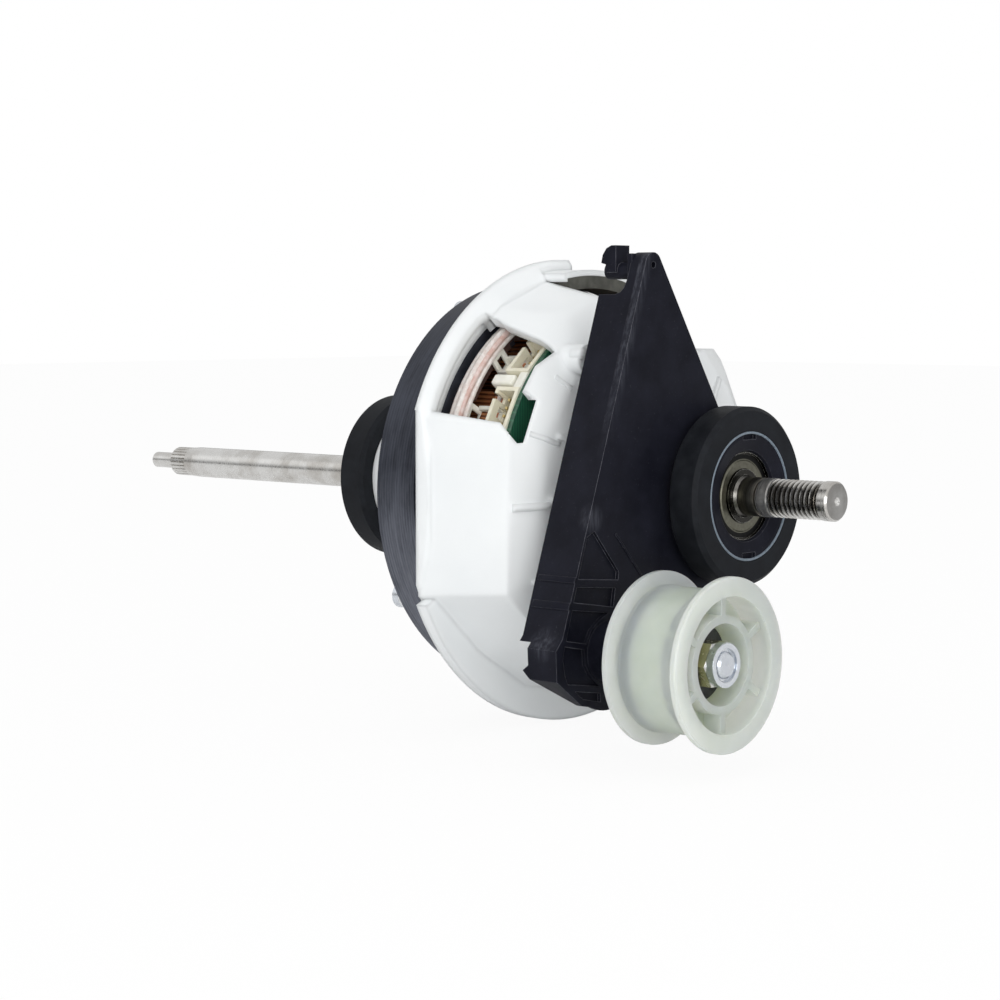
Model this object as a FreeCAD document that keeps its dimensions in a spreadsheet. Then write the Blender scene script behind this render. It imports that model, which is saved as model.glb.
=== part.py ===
import FreeCAD, Part
import math
import os

import Sketcher

# Belt-drive motor of a tumble dryer, with its belt tensioner.
# +X runs along the shaft to the belt end and +Z is up. The origin lies on the shaft axis, at the
# outer face of the front rubber ring. All lengths are in millimetres and all angles in degrees.

SIZES = {
    # Rubber mounting rings and the hubs that carry them
    "ring_radius": 25.0,
    "ring_width": 9.9,
    "ring_edge": 1.2,
    "hub_radius": 18.0,
    "journal_radius": 20.0,
    "holder_wall": 2.0,
    "holder_lip": 1.0,
    "ring_spacing": 138.75,
    # Shaft
    "rotor_seat_radius": 7.0,
    "front_seat_radius": 6.0,
    "fan_shaft_radius": 5.0,
    "shaft_neck_radius": 4.8,
    "relief_radius": 4.7,
    "relief_width": 1.1,
    "fan_length": 104.4,
    "knurl_length": 8.4,
    "knurl_radius": 4.75,
    "knurl_depth": 0.45,
    "knurl_teeth": 24,
    "spigot_length": 11.3,
    "spigot_radius": 2.6,
    # Grooved belt end of the shaft
    "collar_start": 5.1,
    "groove_start": 9.4,
    "groove_pitch": 1.56,
    "groove_count": 10,
    "crest_radius": 5.35,
    "root_radius": 4.35,
    "crest_width": 0.34,
    "root_width": 0.42,
    "tip_neck": 1.0,
    "tip_width": 3.2,
    "tip_radius": 5.5,
    "tip_chamfer": 0.55,
    # Bearings
    "front_bearing_radius": 14.0,
    "rear_bearing_radius": 13.0,
    "bearing_width": 8.0,
    "bearing_recess": 2.0,
    "ball_radius": 2.35,
    "ball_count": 8,
    "race_gap": 0.1,
    "race_step": 2.3,
    "race_rim": 1.5,
    "race_rim_depth": 0.9,
    "shield_set": 0.25,
    "cage_half_width": 2.8,
    "cage_half_wall": 0.5,
    "shield_depth": 0.5,
    "shield_thickness": 0.35,
    "shield_gap": 0.25,
    "wave_thickness": 0.5,
    "washer_slack": 0.1,
    # Stator
    "stack_rear": 87.5,
    "stack_front": 69.5,
    "stack_radius": 59.2,
    "stack_step": 1.1,
    "stack_step_length": 3.6,
    "yoke_radius": 50.5,
    "stator_bore": 31.7,
    "tooth_count": 12,
    "tooth_half": 3.3,
    "shoe_half": 7.2,
    "shoe_depth": 2.2,
    "coil_overhang": 8.0,
    "coil_inner_radius": 35.1,
    "coil_outer_radius": 46.5,
    "coil_half": 6.4,
    "coil_slack": 0.2,
    "coil_round": 2.4,
    "front_insulator_height": 6.0,
    "rear_insulator_height": 4.0,
    "insulator_wall": 1.8,
    "bundle_radius": 2.4,
    # Rotor
    "rotor_radius": 31.0,
    "magnet_thickness": 3.4,
    "magnet_count": 8,
    "magnet_span": 39.0,
    "end_ring_thickness": 2.4,
    "end_ring_margin": 1.2,
    "sensor_ring_radius": 14.0,
    "sensor_ring_width": 5.0,
    # Front cover
    "drum_radius": 62.0,
    "drum_front_radius": 57.0,
    "drum_front": 46.0,
    "drum_side_radius": 57.8,
    "drum_far_radius": 59.4,
    "drum_flat": 60.6,
    "drum_front_flat": 56.9,
    "drum_edge": 40.5,
    "drum_edge_radius": 57.0,
    "drum_edge_far_radius": 53.4,
    "drum_edge_top_radius": 51.5,
    "drum_edge_flat": 56.0,
    "cover_rear": 70.0,
    "cover_wall": 2.4,
    "shoulder_front": 35.5,
    "shoulder_radius": 46.5,
    "cone_front": 29.2,
    "cone_radius": 21.4,
    "flange_radius": 66.4,
    "flange_width": 4.0,
    "flange_rim": 0.8,
    "window_lip_radius": 60.7,
    "window_edge": 67.0,
    "window_lip_depth": 2.0,
    "foot_flange_radius": 69.5,
    "foot_flange_offset": 1.0,
    "label_flat": 61.5,
    "window_turn": 50.0,
    "arch_radius": 63.4,
    "arch_width": 11.0,
    "arch_wall": 2.6,
    "rib_count": 16,
    "rib_width": 1.6,
    "rib_height": 1.1,
    "rib_sink": 0.7,
    "rib_inset": 0.7,
    "screw_circle": 54.0,
    "screw_boss_radius": 3.6,
    "screw_boss_length": 11.5,
    "screw_radius": 2.0,
    "screw_bite": 9.0,
    "screw_head_radius": 3.6,
    "screw_head_height": 2.4,
    "screw_slack": 0.1,
    # Rear cover
    "rear_skirt_radius": 56.5,
    "rear_skirt_length": 2.0,
    "rear_shoulder_radius": 48.0,
    "rear_shoulder": 97.0,
    "rear_cone_radius": 21.4,
    "rear_cone_end": 121.0,
    # Circuit board and its connectors
    "board_radius": 51.5,
    "board_bore": 23.0,
    "board_rear": 48.0,
    "board_thickness": 1.6,
    "pillar_circle": 46.5,
    "pillar_radius": 4.2,
    "pillar_front": 34.4,
    "pillar_screw_radius": 1.3,
    "pillar_screw_bite": 6.0,
    "pillar_count": 3,
    "guide_boss_circle": 49.0,
    "plug_width": 13.6,
    "plug_height": 8.4,
    "plug_length": 11.0,
    "plug_wall": 1.2,
    "plug_reach": 52.0,
    "plug_gap": 0.15,
    "pin_half": 0.35,
    "pin_count": 4,
    "pin_pitch": 2.5,
    # Tensioner arm
    "arm_front": 12.0,
    "arm_depth": 14.0,
    "arm_plate": 2.6,
    "arm_wall": 2.4,
    "arm_clearance": 0.08,
    "arm_hub_radius": 24.2,
    "apex_y": 28.4,
    "apex_z": 64.0,
    "apex_radius": 3.4,
    "apex_depth": 5.2,
    "apex_notch_z": 56.0,
    "shoulder_y": 1.2,
    "shoulder_z": 24.2,
    "roller_y": 47.6,
    "roller_z": 39.7,
    "foot_radius": 16.0,
    "foot_shelf": 22.0,
    "arm_rib_wall": 1.8,
    "hook_reach": 10.4,
    "hook_radius": 2.3,
    "hook_cap_width": 5.8,
    "hook_cap_length": 5.2,
    # Tensioner roller and what holds it
    "roller_start": 5.05,
    "roller_width": 24.3,
    "roller_flange_radius": 23.05,
    "roller_flange": 2.3,
    "roller_drum_radius": 19.3,
    "roller_recess_radius": 18.0,
    "roller_recess_depth": 8.0,
    "roller_hub_set": 2.3,
    "roller_hub_radius": 13.0,
    "roller_hub_bore": 10.8,
    "roller_web_start": 8.0,
    "roller_web_end": 18.4,
    "roller_clearance": 0.06,
    "roller_rib_count": 6,
    "roller_rib_width": 2.0,
    "boss_radius": 8.2,
    "sleeve_radius": 5.0,
    "bolt_radius": 3.5,
    "bolt_end": 28.4,
    "bolt_head_radius": 5.6,
    "bolt_head_height": 3.6,
    "washer_radius": 10.2,
    "washer_thickness": 1.2,
    "rear_washer_radius": 7.6,
    "nut_flat_radius": 5.7,
    "nut_height": 6.0,
    "nut_collar_radius": 5.9,
    "nut_collar_height": 2.4,
}

doc = FreeCAD.newDocument("dryer_motor")
sheet = doc.addObject("Spreadsheet::Sheet", "Sizes")
for row, (alias, number) in enumerate(SIZES.items(), start=1):
    sheet.set(f"A{row}", alias)
    sheet.set(f"B{row}", str(number))
    sheet.setAlias(f"B{row}", alias)
doc.recompute()


class Size:
    """A number together with the sheet expression that gives it."""

    def __init__(self, value, text):
        self.value = float(value)
        self.text = text

    def __add__(self, other):
        other = as_size(other)
        return Size(self.value + other.value, f"({self.text} + {other.text})")

    __radd__ = __add__

    def __neg__(self):
        return Size(-self.value, f"(0 - {self.text})")

    def __sub__(self, other):
        return self + (-as_size(other))

    def __rsub__(self, other):
        return as_size(other) - self

    def __mul__(self, factor):
        factor = as_size(factor)
        return Size(self.value * factor.value, f"({self.text} * {factor.text})")

    __rmul__ = __mul__

    def __truediv__(self, divisor):
        divisor = as_size(divisor)
        return Size(self.value / divisor.value, f"({self.text} / {divisor.text})")


def as_size(number):
    return number if isinstance(number, Size) else Size(number, f"{float(number):.9f}")


class Names:
    """Gives each size of the sheet by its alias."""

    def __getattr__(self, alias):
        return Size(SIZES[alias], f"Sizes.{alias}")


S = Names()


def count(alias):
    return int(round(SIZES[alias]))


def polar(radius, degrees):
    radius = as_size(radius)
    return radius * math.cos(math.radians(degrees)), radius * math.sin(math.radians(degrees))


# Document objects: bodies, sketches, features

nodes = []
volumes = {}


def finish(item, label):
    item.Label = label
    nodes.append(item)
    return item


def bind(item, path, size):
    size = as_size(size)
    item.setExpression(path, size.text)


def new_body(name):
    return doc.addObject("PartDesign::Body", f"{name}_body")


def origin_feature(body, role):
    return next(item for item in body.Origin.OriginFeatures if item.Role == role)


def new_sketch(body, role, offset=0.0):
    sketch = body.newObject("Sketcher::SketchObject", f"{body.Name}_sketch")
    sketch.AttachmentSupport = [(origin_feature(body, role), "")]
    sketch.MapMode = "FlatFace"
    offset = as_size(offset)
    sketch.AttachmentOffset = FreeCAD.Placement(FreeCAD.Vector(0, 0, offset.value), FreeCAD.Rotation())
    bind(sketch, "AttachmentOffset.Base.z", offset)
    return sketch


def pin_point(sketch, geometry, end, x, y):
    """Holds one point of a sketch at a place given by two sizes."""
    for kind, size, axis in (("DistanceX", as_size(x), -2), ("DistanceY", as_size(y), -1)):
        if abs(size.value) < 1e-9:
            sketch.addConstraint(Sketcher.Constraint("PointOnObject", geometry, end, axis))
        else:
            index = sketch.addConstraint(Sketcher.Constraint(kind, -1, 1, geometry, end, size.value))
            bind(sketch, f"Constraints[{index}]", size)


def draw_polygon(sketch, points):
    points = [(as_size(x), as_size(y)) for x, y in points]
    corners = [FreeCAD.Vector(x.value, y.value, 0) for x, y in points]
    total = len(corners)
    first = sketch.GeometryCount
    sides = [Part.LineSegment(corners[i], corners[(i + 1) % total]) for i in range(total)]
    sketch.addGeometry(sides, False)
    for i in range(total):
        sketch.addConstraint(Sketcher.Constraint("Coincident", first + i, 2, first + (i + 1) % total, 1))
    for i, (x, y) in enumerate(points):
        pin_point(sketch, first + i, 1, x, y)
    return sketch


def draw_circle(sketch, x, y, radius):
    x, y, radius = as_size(x), as_size(y), as_size(radius)
    centre = FreeCAD.Vector(x.value, y.value, 0)
    index = sketch.addGeometry(Part.Circle(centre, FreeCAD.Vector(0, 0, 1), radius.value), False)
    pin_point(sketch, index, 3, x, y)
    number = sketch.addConstraint(Sketcher.Constraint("Radius", index, radius.value))
    bind(sketch, f"Constraints[{number}]", radius)
    return sketch


def draw_box(sketch, low, high):
    return draw_polygon(sketch, [low, (high[0], low[1]), high, (low[0], high[1])])


def revolve(body, sketch, cut=False):
    kind = "PartDesign::Groove" if cut else "PartDesign::Revolution"
    feature = body.newObject(kind, f"{body.Name}_turned")
    feature.Profile = sketch
    feature.ReferenceAxis = (sketch, ["H_Axis"])
    feature.Angle = 360.0
    return settle(body, feature, cut)


def pad(body, sketch, length, taper=0.0):
    feature = body.newObject("PartDesign::Pad", f"{body.Name}_pad")
    feature.Profile = sketch
    feature.Length = as_size(length).value
    bind(feature, "Length", length)
    if taper:
        feature.TaperAngle = taper
    return settle(body, feature, False)


def pocket(body, sketch, length, forward=False):
    feature = body.newObject("PartDesign::Pocket", f"{body.Name}_pocket")
    feature.Profile = sketch
    feature.Length = as_size(length).value
    bind(feature, "Length", length)
    feature.Reversed = forward
    return settle(body, feature, True)


def settle(body, feature, cut):
    """Recomputes a new feature and makes sure that it changed the solid the right way."""
    before = volumes.get(body.Name, 0.0)
    body.Tip = feature
    doc.recompute()
    after = feature.Shape.Volume
    wrong = after >= before if cut else after <= before
    if "Invalid" in feature.State or wrong or not feature.Shape.isValid():
        raise RuntimeError(f"{body.Label}: {feature.Name} went from {before:.2f} to {after:.2f}")
    volumes[body.Name] = after
    return feature


def pattern(body, feature, occurrences, role="X_Axis"):
    """Repeats a feature evenly about an axis of its body."""
    copies = body.newObject("PartDesign::PolarPattern", f"{body.Name}_copies")
    copies.Originals = [feature]
    copies.Axis = (origin_feature(body, role), [""])
    copies.Angle = 360.0
    copies.Occurrences = occurrences
    body.Tip = copies
    doc.recompute()
    if "Invalid" in copies.State or not copies.Shape.isValid():
        raise RuntimeError(f"{body.Label}: the pattern failed")
    volumes[body.Name] = copies.Shape.Volume
    return copies


def turned(name, profile):
    """A body turned about X from a closed profile of (x, radius) corners."""
    body = new_body(name)
    revolve(body, draw_polygon(new_sketch(body, "XZ_Plane"), profile))
    return body


def place(item, x=0.0, y=0.0, z=0.0, axis=(1, 0, 0), degrees=0.0):
    turn = FreeCAD.Rotation(FreeCAD.Vector(*axis), degrees)
    spot = FreeCAD.Vector(as_size(x).value, as_size(y).value, as_size(z).value)
    item.Placement = FreeCAD.Placement(spot, turn)
    for letter, size in (("x", x), ("y", y), ("z", z)):
        if isinstance(size, Size):
            bind(item, f"Placement.Base.{letter}", size)
    return item


def cylinder(name, radius, length, x, y=0.0, z=0.0, sweep=360.0, start=0.0):
    """A cylinder along +X whose sector, if it is one, starts at an angle from +Y."""
    item = doc.addObject("Part::Cylinder", name)
    bind(item, "Radius", radius)
    bind(item, "Height", length)
    item.Angle = sweep
    place(item, x, y, z)
    along_x = FreeCAD.Rotation(FreeCAD.Vector(0, 1, 0), 90)
    spin = FreeCAD.Rotation(FreeCAD.Vector(1, 0, 0), start + 90)
    item.Placement = FreeCAD.Placement(item.Placement.Base, spin.multiply(along_x))
    return item


def box(name, low, high):
    item = doc.addObject("Part::Box", name)
    for side, a, b in zip(("Length", "Width", "Height"), low, high):
        bind(item, side, as_size(b) - as_size(a))
    return place(item, *[as_size(value) for value in low])


def fuse(name, *items):
    item = doc.addObject("Part::MultiFuse", name)
    item.Shapes = list(items)
    return item


def cut(name, base, *tools):
    item = doc.addObject("Part::Cut", name)
    item.Base = base
    item.Tool = tools[0] if len(tools) == 1 else fuse(f"{name}_tools", *tools)
    return item


def group(name, *items):
    item = doc.addObject("Part::Compound", name)
    item.Links = list(items)
    return item


# Stations along the shaft that several pieces share

bearing_face = -S.bearing_recess
bearing_back = bearing_face - S.bearing_width
rear_face = -S.ring_spacing
rear_bearing_face = rear_face + S.bearing_recess
rear_bearing_back = rear_bearing_face + S.bearing_width
stack_length = S.stack_rear - S.stack_front
board_front = S.board_thickness - S.board_rear
arm_face = -S.arm_front
arm_back = -(S.arm_front + S.arm_depth)


def build_ring(label, x, degrees):
    """Rubber mounting ring on the nose of a hub; its outer face is at x = 0 of its own frame."""
    profile = [
        (-S.ring_width, S.hub_radius),
        (0.0, S.hub_radius + 0.2),
        (0.0, S.ring_radius - S.ring_edge),
        (-S.ring_edge, S.ring_radius),
        (S.ring_edge - S.ring_width, S.ring_radius),
        (-S.ring_width, S.ring_radius - S.ring_edge),
    ]
    body = turned(label, profile)
    finish(place(body, x=x, axis=(0, 0, 1), degrees=degrees), label)


def build_holder(label, x, degrees, bearing_radius, room=0.0):
    """Cup that seats a bearing in a hub, with two notches in its rim; room is left for a washer."""
    cup_radius = S.hub_radius - S.holder_wall
    seat = bearing_back - room
    back = seat - S.holder_lip
    profile = [
        (back, bearing_radius - 1.7),
        (seat, bearing_radius - 1.7),
        (seat, bearing_radius),
        (bearing_face, bearing_radius),
        (bearing_face, bearing_radius - 1.7),
        (bearing_face + 0.9, bearing_radius - 1.2),
        (-0.3, S.hub_radius - 1.6),
        (-0.3, S.hub_radius),
        (-3.0, S.hub_radius),
        (-3.0, cup_radius),
        (back, cup_radius),
    ]
    body = turned(label, profile)
    for side in (1, -1):
        notch = new_sketch(body, "YZ_Plane", -1.4)
        draw_box(notch, (-3.0, side * (S.hub_radius - 2.2)), (3.0, side * (S.hub_radius + 1.0)))
        pocket(body, notch, 2.0, forward=True)
    finish(place(body, x=x, axis=(0, 0, 1), degrees=degrees), label)


def build_bearing(prefix, x, degrees, bore, outer):
    """Deep-groove ball bearing with pressed shields; its outer face is at x = 0 of its own frame."""
    width = S.bearing_width
    pitch = (bore + outer) / 2
    track = S.ball_radius + S.race_gap
    inner_land = bore + S.race_step
    outer_land = outer - S.race_step
    middle = width / 2

    def race(label, seat, land, rim):
        depth = S.race_rim_depth
        body = turned(
            label,
            [(-width, seat), (0.0, seat), (0.0, rim), (-depth, rim), (-depth, land),
             (depth - width, land), (depth - width, rim), (-width, rim)],
        )
        groove = new_sketch(body, "XZ_Plane")
        draw_circle(groove, -middle, pitch, track)
        revolve(body, groove, cut=True)
        finish(place(body, x=x, axis=(0, 0, 1), degrees=degrees), label)

    rim = bore + S.race_rim
    race(f"{prefix}_bearing_outer_race", outer, outer_land, outer - S.race_rim - 0.3)
    race(f"{prefix}_bearing_inner_race", bore, inner_land, rim)
    ridge = (rim + outer_land) / 2 + 0.2
    edge = rim + S.shield_gap
    for side, near, inwards in (("outer", -S.shield_depth, -1), ("inner", S.shield_depth - width, 1)):
        far = near + S.shield_thickness * inwards
        step = S.shield_set * inwards
        label = f"{prefix}_bearing_{side}_shield"
        body = turned(
            label,
            [(near, edge), (near, ridge), (near + step, ridge + 0.3), (near + step, outer_land),
             (far + step, outer_land), (far + step, ridge + 0.1), (far, ridge - 0.2), (far, edge)],
        )
        finish(place(body, x=x, axis=(0, 0, 1), degrees=degrees), label)

    centre_x = as_size(x) + (-middle if degrees == 0 else middle)
    balls = []
    for i in range(count("ball_count")):
        ball = doc.addObject("Part::Sphere", f"{prefix}_ball")
        bind(ball, "Radius", S.ball_radius)
        y, z = polar(pitch, 360.0 * i / count("ball_count"))
        balls.append(place(ball, centre_x, y, z))
    finish(group(f"{prefix}_bearing_balls", *balls), f"{prefix}_bearing_balls")

    cage = turned(
        f"{prefix}_bearing_cage",
        [
            (-middle - S.cage_half_width, pitch - S.cage_half_wall),
            (-middle + S.cage_half_width, pitch - S.cage_half_wall),
            (-middle + S.cage_half_width, pitch + S.cage_half_wall),
            (-middle - S.cage_half_width, pitch + S.cage_half_wall),
        ],
    )
    seat = new_sketch(cage, "XY_Plane")
    draw_circle(seat, -middle, 0.0, S.ball_radius + 0.1)
    pattern(cage, pocket(cage, seat, outer, forward=True), count("ball_count"))
    finish(place(cage, x=x, axis=(0, 0, 1), degrees=degrees), f"{prefix}_bearing_cage")


def build_wave_washer():
    """Ring that loads the rear bearing, between its outer race and the holder's lip."""
    outer = S.rear_bearing_radius - S.washer_slack
    inner = S.rear_bearing_radius - S.race_step + 0.2
    end = rear_bearing_back + S.wave_thickness
    start = rear_bearing_back
    body = turned("rear_wave_washer", [(start, inner), (end, inner), (end, outer), (start, outer)])
    finish(body, "rear_wave_washer")


def build_shaft():
    grooves = []
    groove_side = (S.groove_pitch - S.crest_width - S.root_width) / 2
    for i in range(count("groove_count")):
        start = S.groove_start + i * S.groove_pitch
        grooves += [
            (start + S.crest_width, S.crest_radius),
            (start + S.crest_width + groove_side, S.root_radius),
            (start + S.crest_width + groove_side + S.root_width, S.root_radius),
            (start + S.groove_pitch, S.crest_radius),
        ]
    groove_end = S.groove_start + count("groove_count") * S.groove_pitch
    neck_end = groove_end + S.tip_neck
    tip_end = neck_end + S.tip_width
    collar_radius = S.crest_radius + 0.08
    fan_start = rear_face - S.fan_length
    spigot_end = fan_start - S.spigot_length
    relief_end = rear_bearing_face - 0.3
    profile = [
        (spigot_end, 0.0),
        (spigot_end, S.spigot_radius - 0.9),
        (spigot_end + 0.9, S.spigot_radius),
        (fan_start, S.spigot_radius),
        (fan_start, S.knurl_radius - 1.3),
        (fan_start + 1.4, S.knurl_radius),
        (fan_start + S.knurl_length, S.knurl_radius),
        (fan_start + S.knurl_length + 4.0, S.fan_shaft_radius),
        (relief_end - S.relief_width, S.fan_shaft_radius),
        (relief_end - S.relief_width, S.relief_radius),
        (relief_end, S.relief_radius),
        (relief_end, S.fan_shaft_radius),
        (rear_bearing_back, S.fan_shaft_radius),
        (rear_bearing_back, S.rotor_seat_radius),
        (bearing_back, S.rotor_seat_radius),
        (bearing_back, S.front_seat_radius),
        (bearing_face + 0.6, S.front_seat_radius),
        (bearing_face + 2.4, S.shaft_neck_radius),
        (S.collar_start, S.shaft_neck_radius),
        (S.collar_start, collar_radius - 0.5),
        (S.collar_start + 0.5, collar_radius),
        (S.groove_start - 0.5, collar_radius),
        (S.groove_start, S.crest_radius),
        *grooves,
        (groove_end + 0.3, S.root_radius + 0.3),
        (neck_end, S.root_radius + 0.3),
        (neck_end, S.tip_radius),
        (tip_end - S.tip_chamfer, S.tip_radius),
        (tip_end, S.tip_radius - S.tip_chamfer),
        (tip_end, 1.3),
        (tip_end - 1.0, 0.0),
    ]
    body = turned("shaft", profile)
    tooth = new_sketch(body, "YZ_Plane", fan_start - 0.5)
    half = S.knurl_radius * (math.pi / count("knurl_teeth")) * 0.62
    root = S.knurl_radius - S.knurl_depth
    draw_polygon(tooth, [(0.0, root), (half, S.knurl_radius + 0.3), (-half, S.knurl_radius + 0.3)])
    slot = pocket(body, tooth, S.knurl_length + 0.5, forward=True)
    pattern(body, slot, count("knurl_teeth"))
    finish(body, "shaft")


def build_rotor():
    core_radius = S.rotor_radius - S.magnet_thickness
    rear, front = -S.stack_rear, -S.stack_front
    core = turned(
        "rotor_core",
        [(rear, S.rotor_seat_radius), (front, S.rotor_seat_radius), (front, core_radius), (rear, core_radius)],
    )
    hole = new_sketch(core, "YZ_Plane", rear - 0.5)
    draw_circle(hole, 0.0, (S.rotor_seat_radius + core_radius) / 2, 4.0)
    pattern(core, pocket(core, hole, stack_length + 1.0, forward=True), 6)
    finish(core, "rotor_core")

    magnets = []
    for i in range(count("magnet_count")):
        start = 360.0 * i / count("magnet_count") - SIZES["magnet_span"] / 2
        span = SIZES["magnet_span"]
        block = cylinder("magnet_block", S.rotor_radius, stack_length, rear, sweep=span, start=start)
        inner = cylinder("magnet_bore", core_radius, stack_length + 1.0, rear - 0.5)
        magnets.append(cut("magnet", block, inner))
    finish(group("rotor_magnets", *magnets), "rotor_magnets")

    outer = S.rotor_radius - S.end_ring_margin
    for name, low in (("front", front), ("rear", rear - S.end_ring_thickness)):
        high = low + S.end_ring_thickness
        body = turned(
            f"{name}_rotor_end_ring",
            [(low, S.rotor_seat_radius), (high, S.rotor_seat_radius), (high, outer), (low, outer)],
        )
        finish(body, f"{name}_rotor_end_ring")

    sensor_start = front + S.end_ring_thickness
    sensor_end = sensor_start + S.sensor_ring_width
    body = turned(
        "sensor_magnet",
        [
            (sensor_start, S.rotor_seat_radius),
            (sensor_end, S.rotor_seat_radius),
            (sensor_end, S.sensor_ring_radius),
            (sensor_start, S.sensor_ring_radius),
        ],
    )
    finish(body, "sensor_magnet")


def build_stator():
    rear, front = -S.stack_rear, -S.stack_front
    step = front - S.stack_step_length
    body = turned(
        "stator_core",
        [
            (rear, S.yoke_radius),
            (front, S.yoke_radius),
            (front, S.stack_radius - S.stack_step),
            (step, S.stack_radius - S.stack_step),
            (step, S.stack_radius),
            (rear, S.stack_radius),
        ],
    )
    tooth = new_sketch(body, "YZ_Plane", rear)
    shoe = S.stator_bore + S.shoe_depth
    bore_sag = S.stator_bore + S.stator_bore * (1 - math.cos(math.radians(180.0 / count("tooth_count"))))
    draw_polygon(
        tooth,
        [
            (-S.tooth_half, S.yoke_radius + 0.5),
            (-S.tooth_half, shoe + 1.0),
            (-S.shoe_half, shoe - 0.6),
            (-S.shoe_half, bore_sag - 0.5),
            (0.0, S.stator_bore),
            (S.shoe_half, bore_sag - 0.5),
            (S.shoe_half, shoe - 0.6),
            (S.tooth_half, shoe + 1.0),
            (S.tooth_half, S.yoke_radius + 0.5),
        ],
    )
    pattern(body, pad(body, tooth, stack_length), count("tooth_count"))
    for angle in SCREW_ANGLES:
        y, z = polar(S.screw_circle, angle)
        hole = draw_circle(new_sketch(body, "YZ_Plane", rear - 1.0), y, z, S.screw_radius + S.screw_slack)
        pocket(body, hole, stack_length + 2.0, forward=True)
    finish(body, "stator_core")

    low, high = rear - S.coil_overhang, front + S.coil_overhang
    slack = S.coil_slack
    coils = []
    for i in range(count("tooth_count")):
        block = box("coil_block", (low, -S.coil_half, S.coil_inner_radius), (high, S.coil_half, S.coil_outer_radius))
        rounded = doc.addObject("Part::Fillet", "coil_rounded")
        rounded.Base = block
        radius = SIZES["coil_round"]
        rounded.Edges = [(edge, radius, radius) for edge in (1, 3, 5, 7)]
        hole = box(
            "coil_hole",
            (rear - slack, -S.tooth_half - slack, S.coil_inner_radius - 1.0),
            (front + slack, S.tooth_half + slack, S.coil_outer_radius + 1.0),
        )
        coil = cut("coil", rounded, hole)
        coils.append(place(coil, degrees=360.0 * i / count("tooth_count")))
    finish(group("stator_coils", *coils), "stator_coils")

    outer = S.yoke_radius - 0.3
    inner = outer - S.insulator_wall
    base = 1.6
    for name, start, height, gap_start in (
        ("front", front, S.front_insulator_height, front + base),
        ("rear", rear - S.rear_insulator_height, S.rear_insulator_height, rear - S.rear_insulator_height - base),
    ):
        end = start + height
        wall = turned(f"{name}_insulator", [(start, inner), (end, inner), (end, outer), (start, outer)])
        gap = new_sketch(wall, "YZ_Plane", gap_start)
        draw_box(gap, (-2.0, S.coil_outer_radius), (2.0, S.stack_radius))
        pattern(wall, pocket(wall, gap, height, forward=True), count("tooth_count"))
        finish(wall, f"{name}_insulator")

    bundle = doc.addObject("Part::Torus", "lead_bundle")
    bind(bundle, "Radius1", S.coil_outer_radius - 2.4)
    bind(bundle, "Radius2", S.bundle_radius)
    place(bundle, front + S.coil_overhang + S.bundle_radius, axis=(0, 1, 0), degrees=90)
    finish(bundle, "lead_bundle")


# Angles about the shaft, from +Y towards +Z

FAR_CORNERS = (2.5, 20.0, 38.0, 58.0)
TOP_CORNERS = (79.0, 100.5, 120.7)
FLAT_CORNERS = (160.5, 182.5, 205.0)
SIDE_CORNERS = (140.5, 227.5, 250.0)
LOW_CORNERS = (272.5, 295.0, 317.5, 340.0)
DRUM_CORNERS = sorted(FAR_CORNERS + TOP_CORNERS + FLAT_CORNERS + SIDE_CORNERS + LOW_CORNERS)
SCREW_ANGLES = (25.0, 110.0, 215.0, 300.0)
FIRST_PILLAR = 110.0
GUIDE_BOSS_ANGLE = 129.0
FOOT_FLANGE_START = 206.0
FOOT_FLANGE_SWEEP = 124.0
ARCH_START = 38.0
WINDOW_LIP_START = 121.0
WINDOW_LIP_SWEEP = 38.0
ARCH_SWEEP = 62.5
PLUG_ANGLES = (131.0, 152.0)


def facet_sketch(body, x, side, far, top, flat):
    """Faceted section of the drum: its radius at the side, far and top corners and its label flat."""
    corners = []
    for angle in DRUM_CORNERS:
        if angle in FLAT_CORNERS:
            radius = flat * (-1.0 / math.cos(math.radians(angle)))
        elif angle in TOP_CORNERS:
            radius = top
        else:
            radius = side if angle in SIDE_CORNERS else far
        corners.append(polar(radius, angle))
    return draw_polygon(new_sketch(body, "YZ_Plane", x), corners)


def add_cone_ribs(body, low, high, outer, inner, side):
    """Radial ribs on a cone that runs between two stations; side is the way that they stand out."""
    height = side * S.rib_height
    sink = side * S.rib_sink
    sketch = new_sketch(body, "XZ_Plane", -S.rib_width / 2)
    first, last = outer - S.rib_inset, inner - S.rib_inset
    corners = [(low - sink, first), (low + height, first), (high + height, last), (high - sink, last)]
    draw_polygon(sketch, corners)
    pattern(body, pad(body, sketch, S.rib_width), count("rib_count"))


def nose_cavity(face, sign):
    """Bore of a hub behind its bearing cup, from the cup's back to the open nose."""
    cup = S.hub_radius - S.holder_wall
    back = face + sign * (bearing_back - S.holder_lip - S.wave_thickness)
    return [(back, 12.0), (back, cup), (face - sign * 2.5, cup), (face - sign * 2.5, 0.0)]


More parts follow.
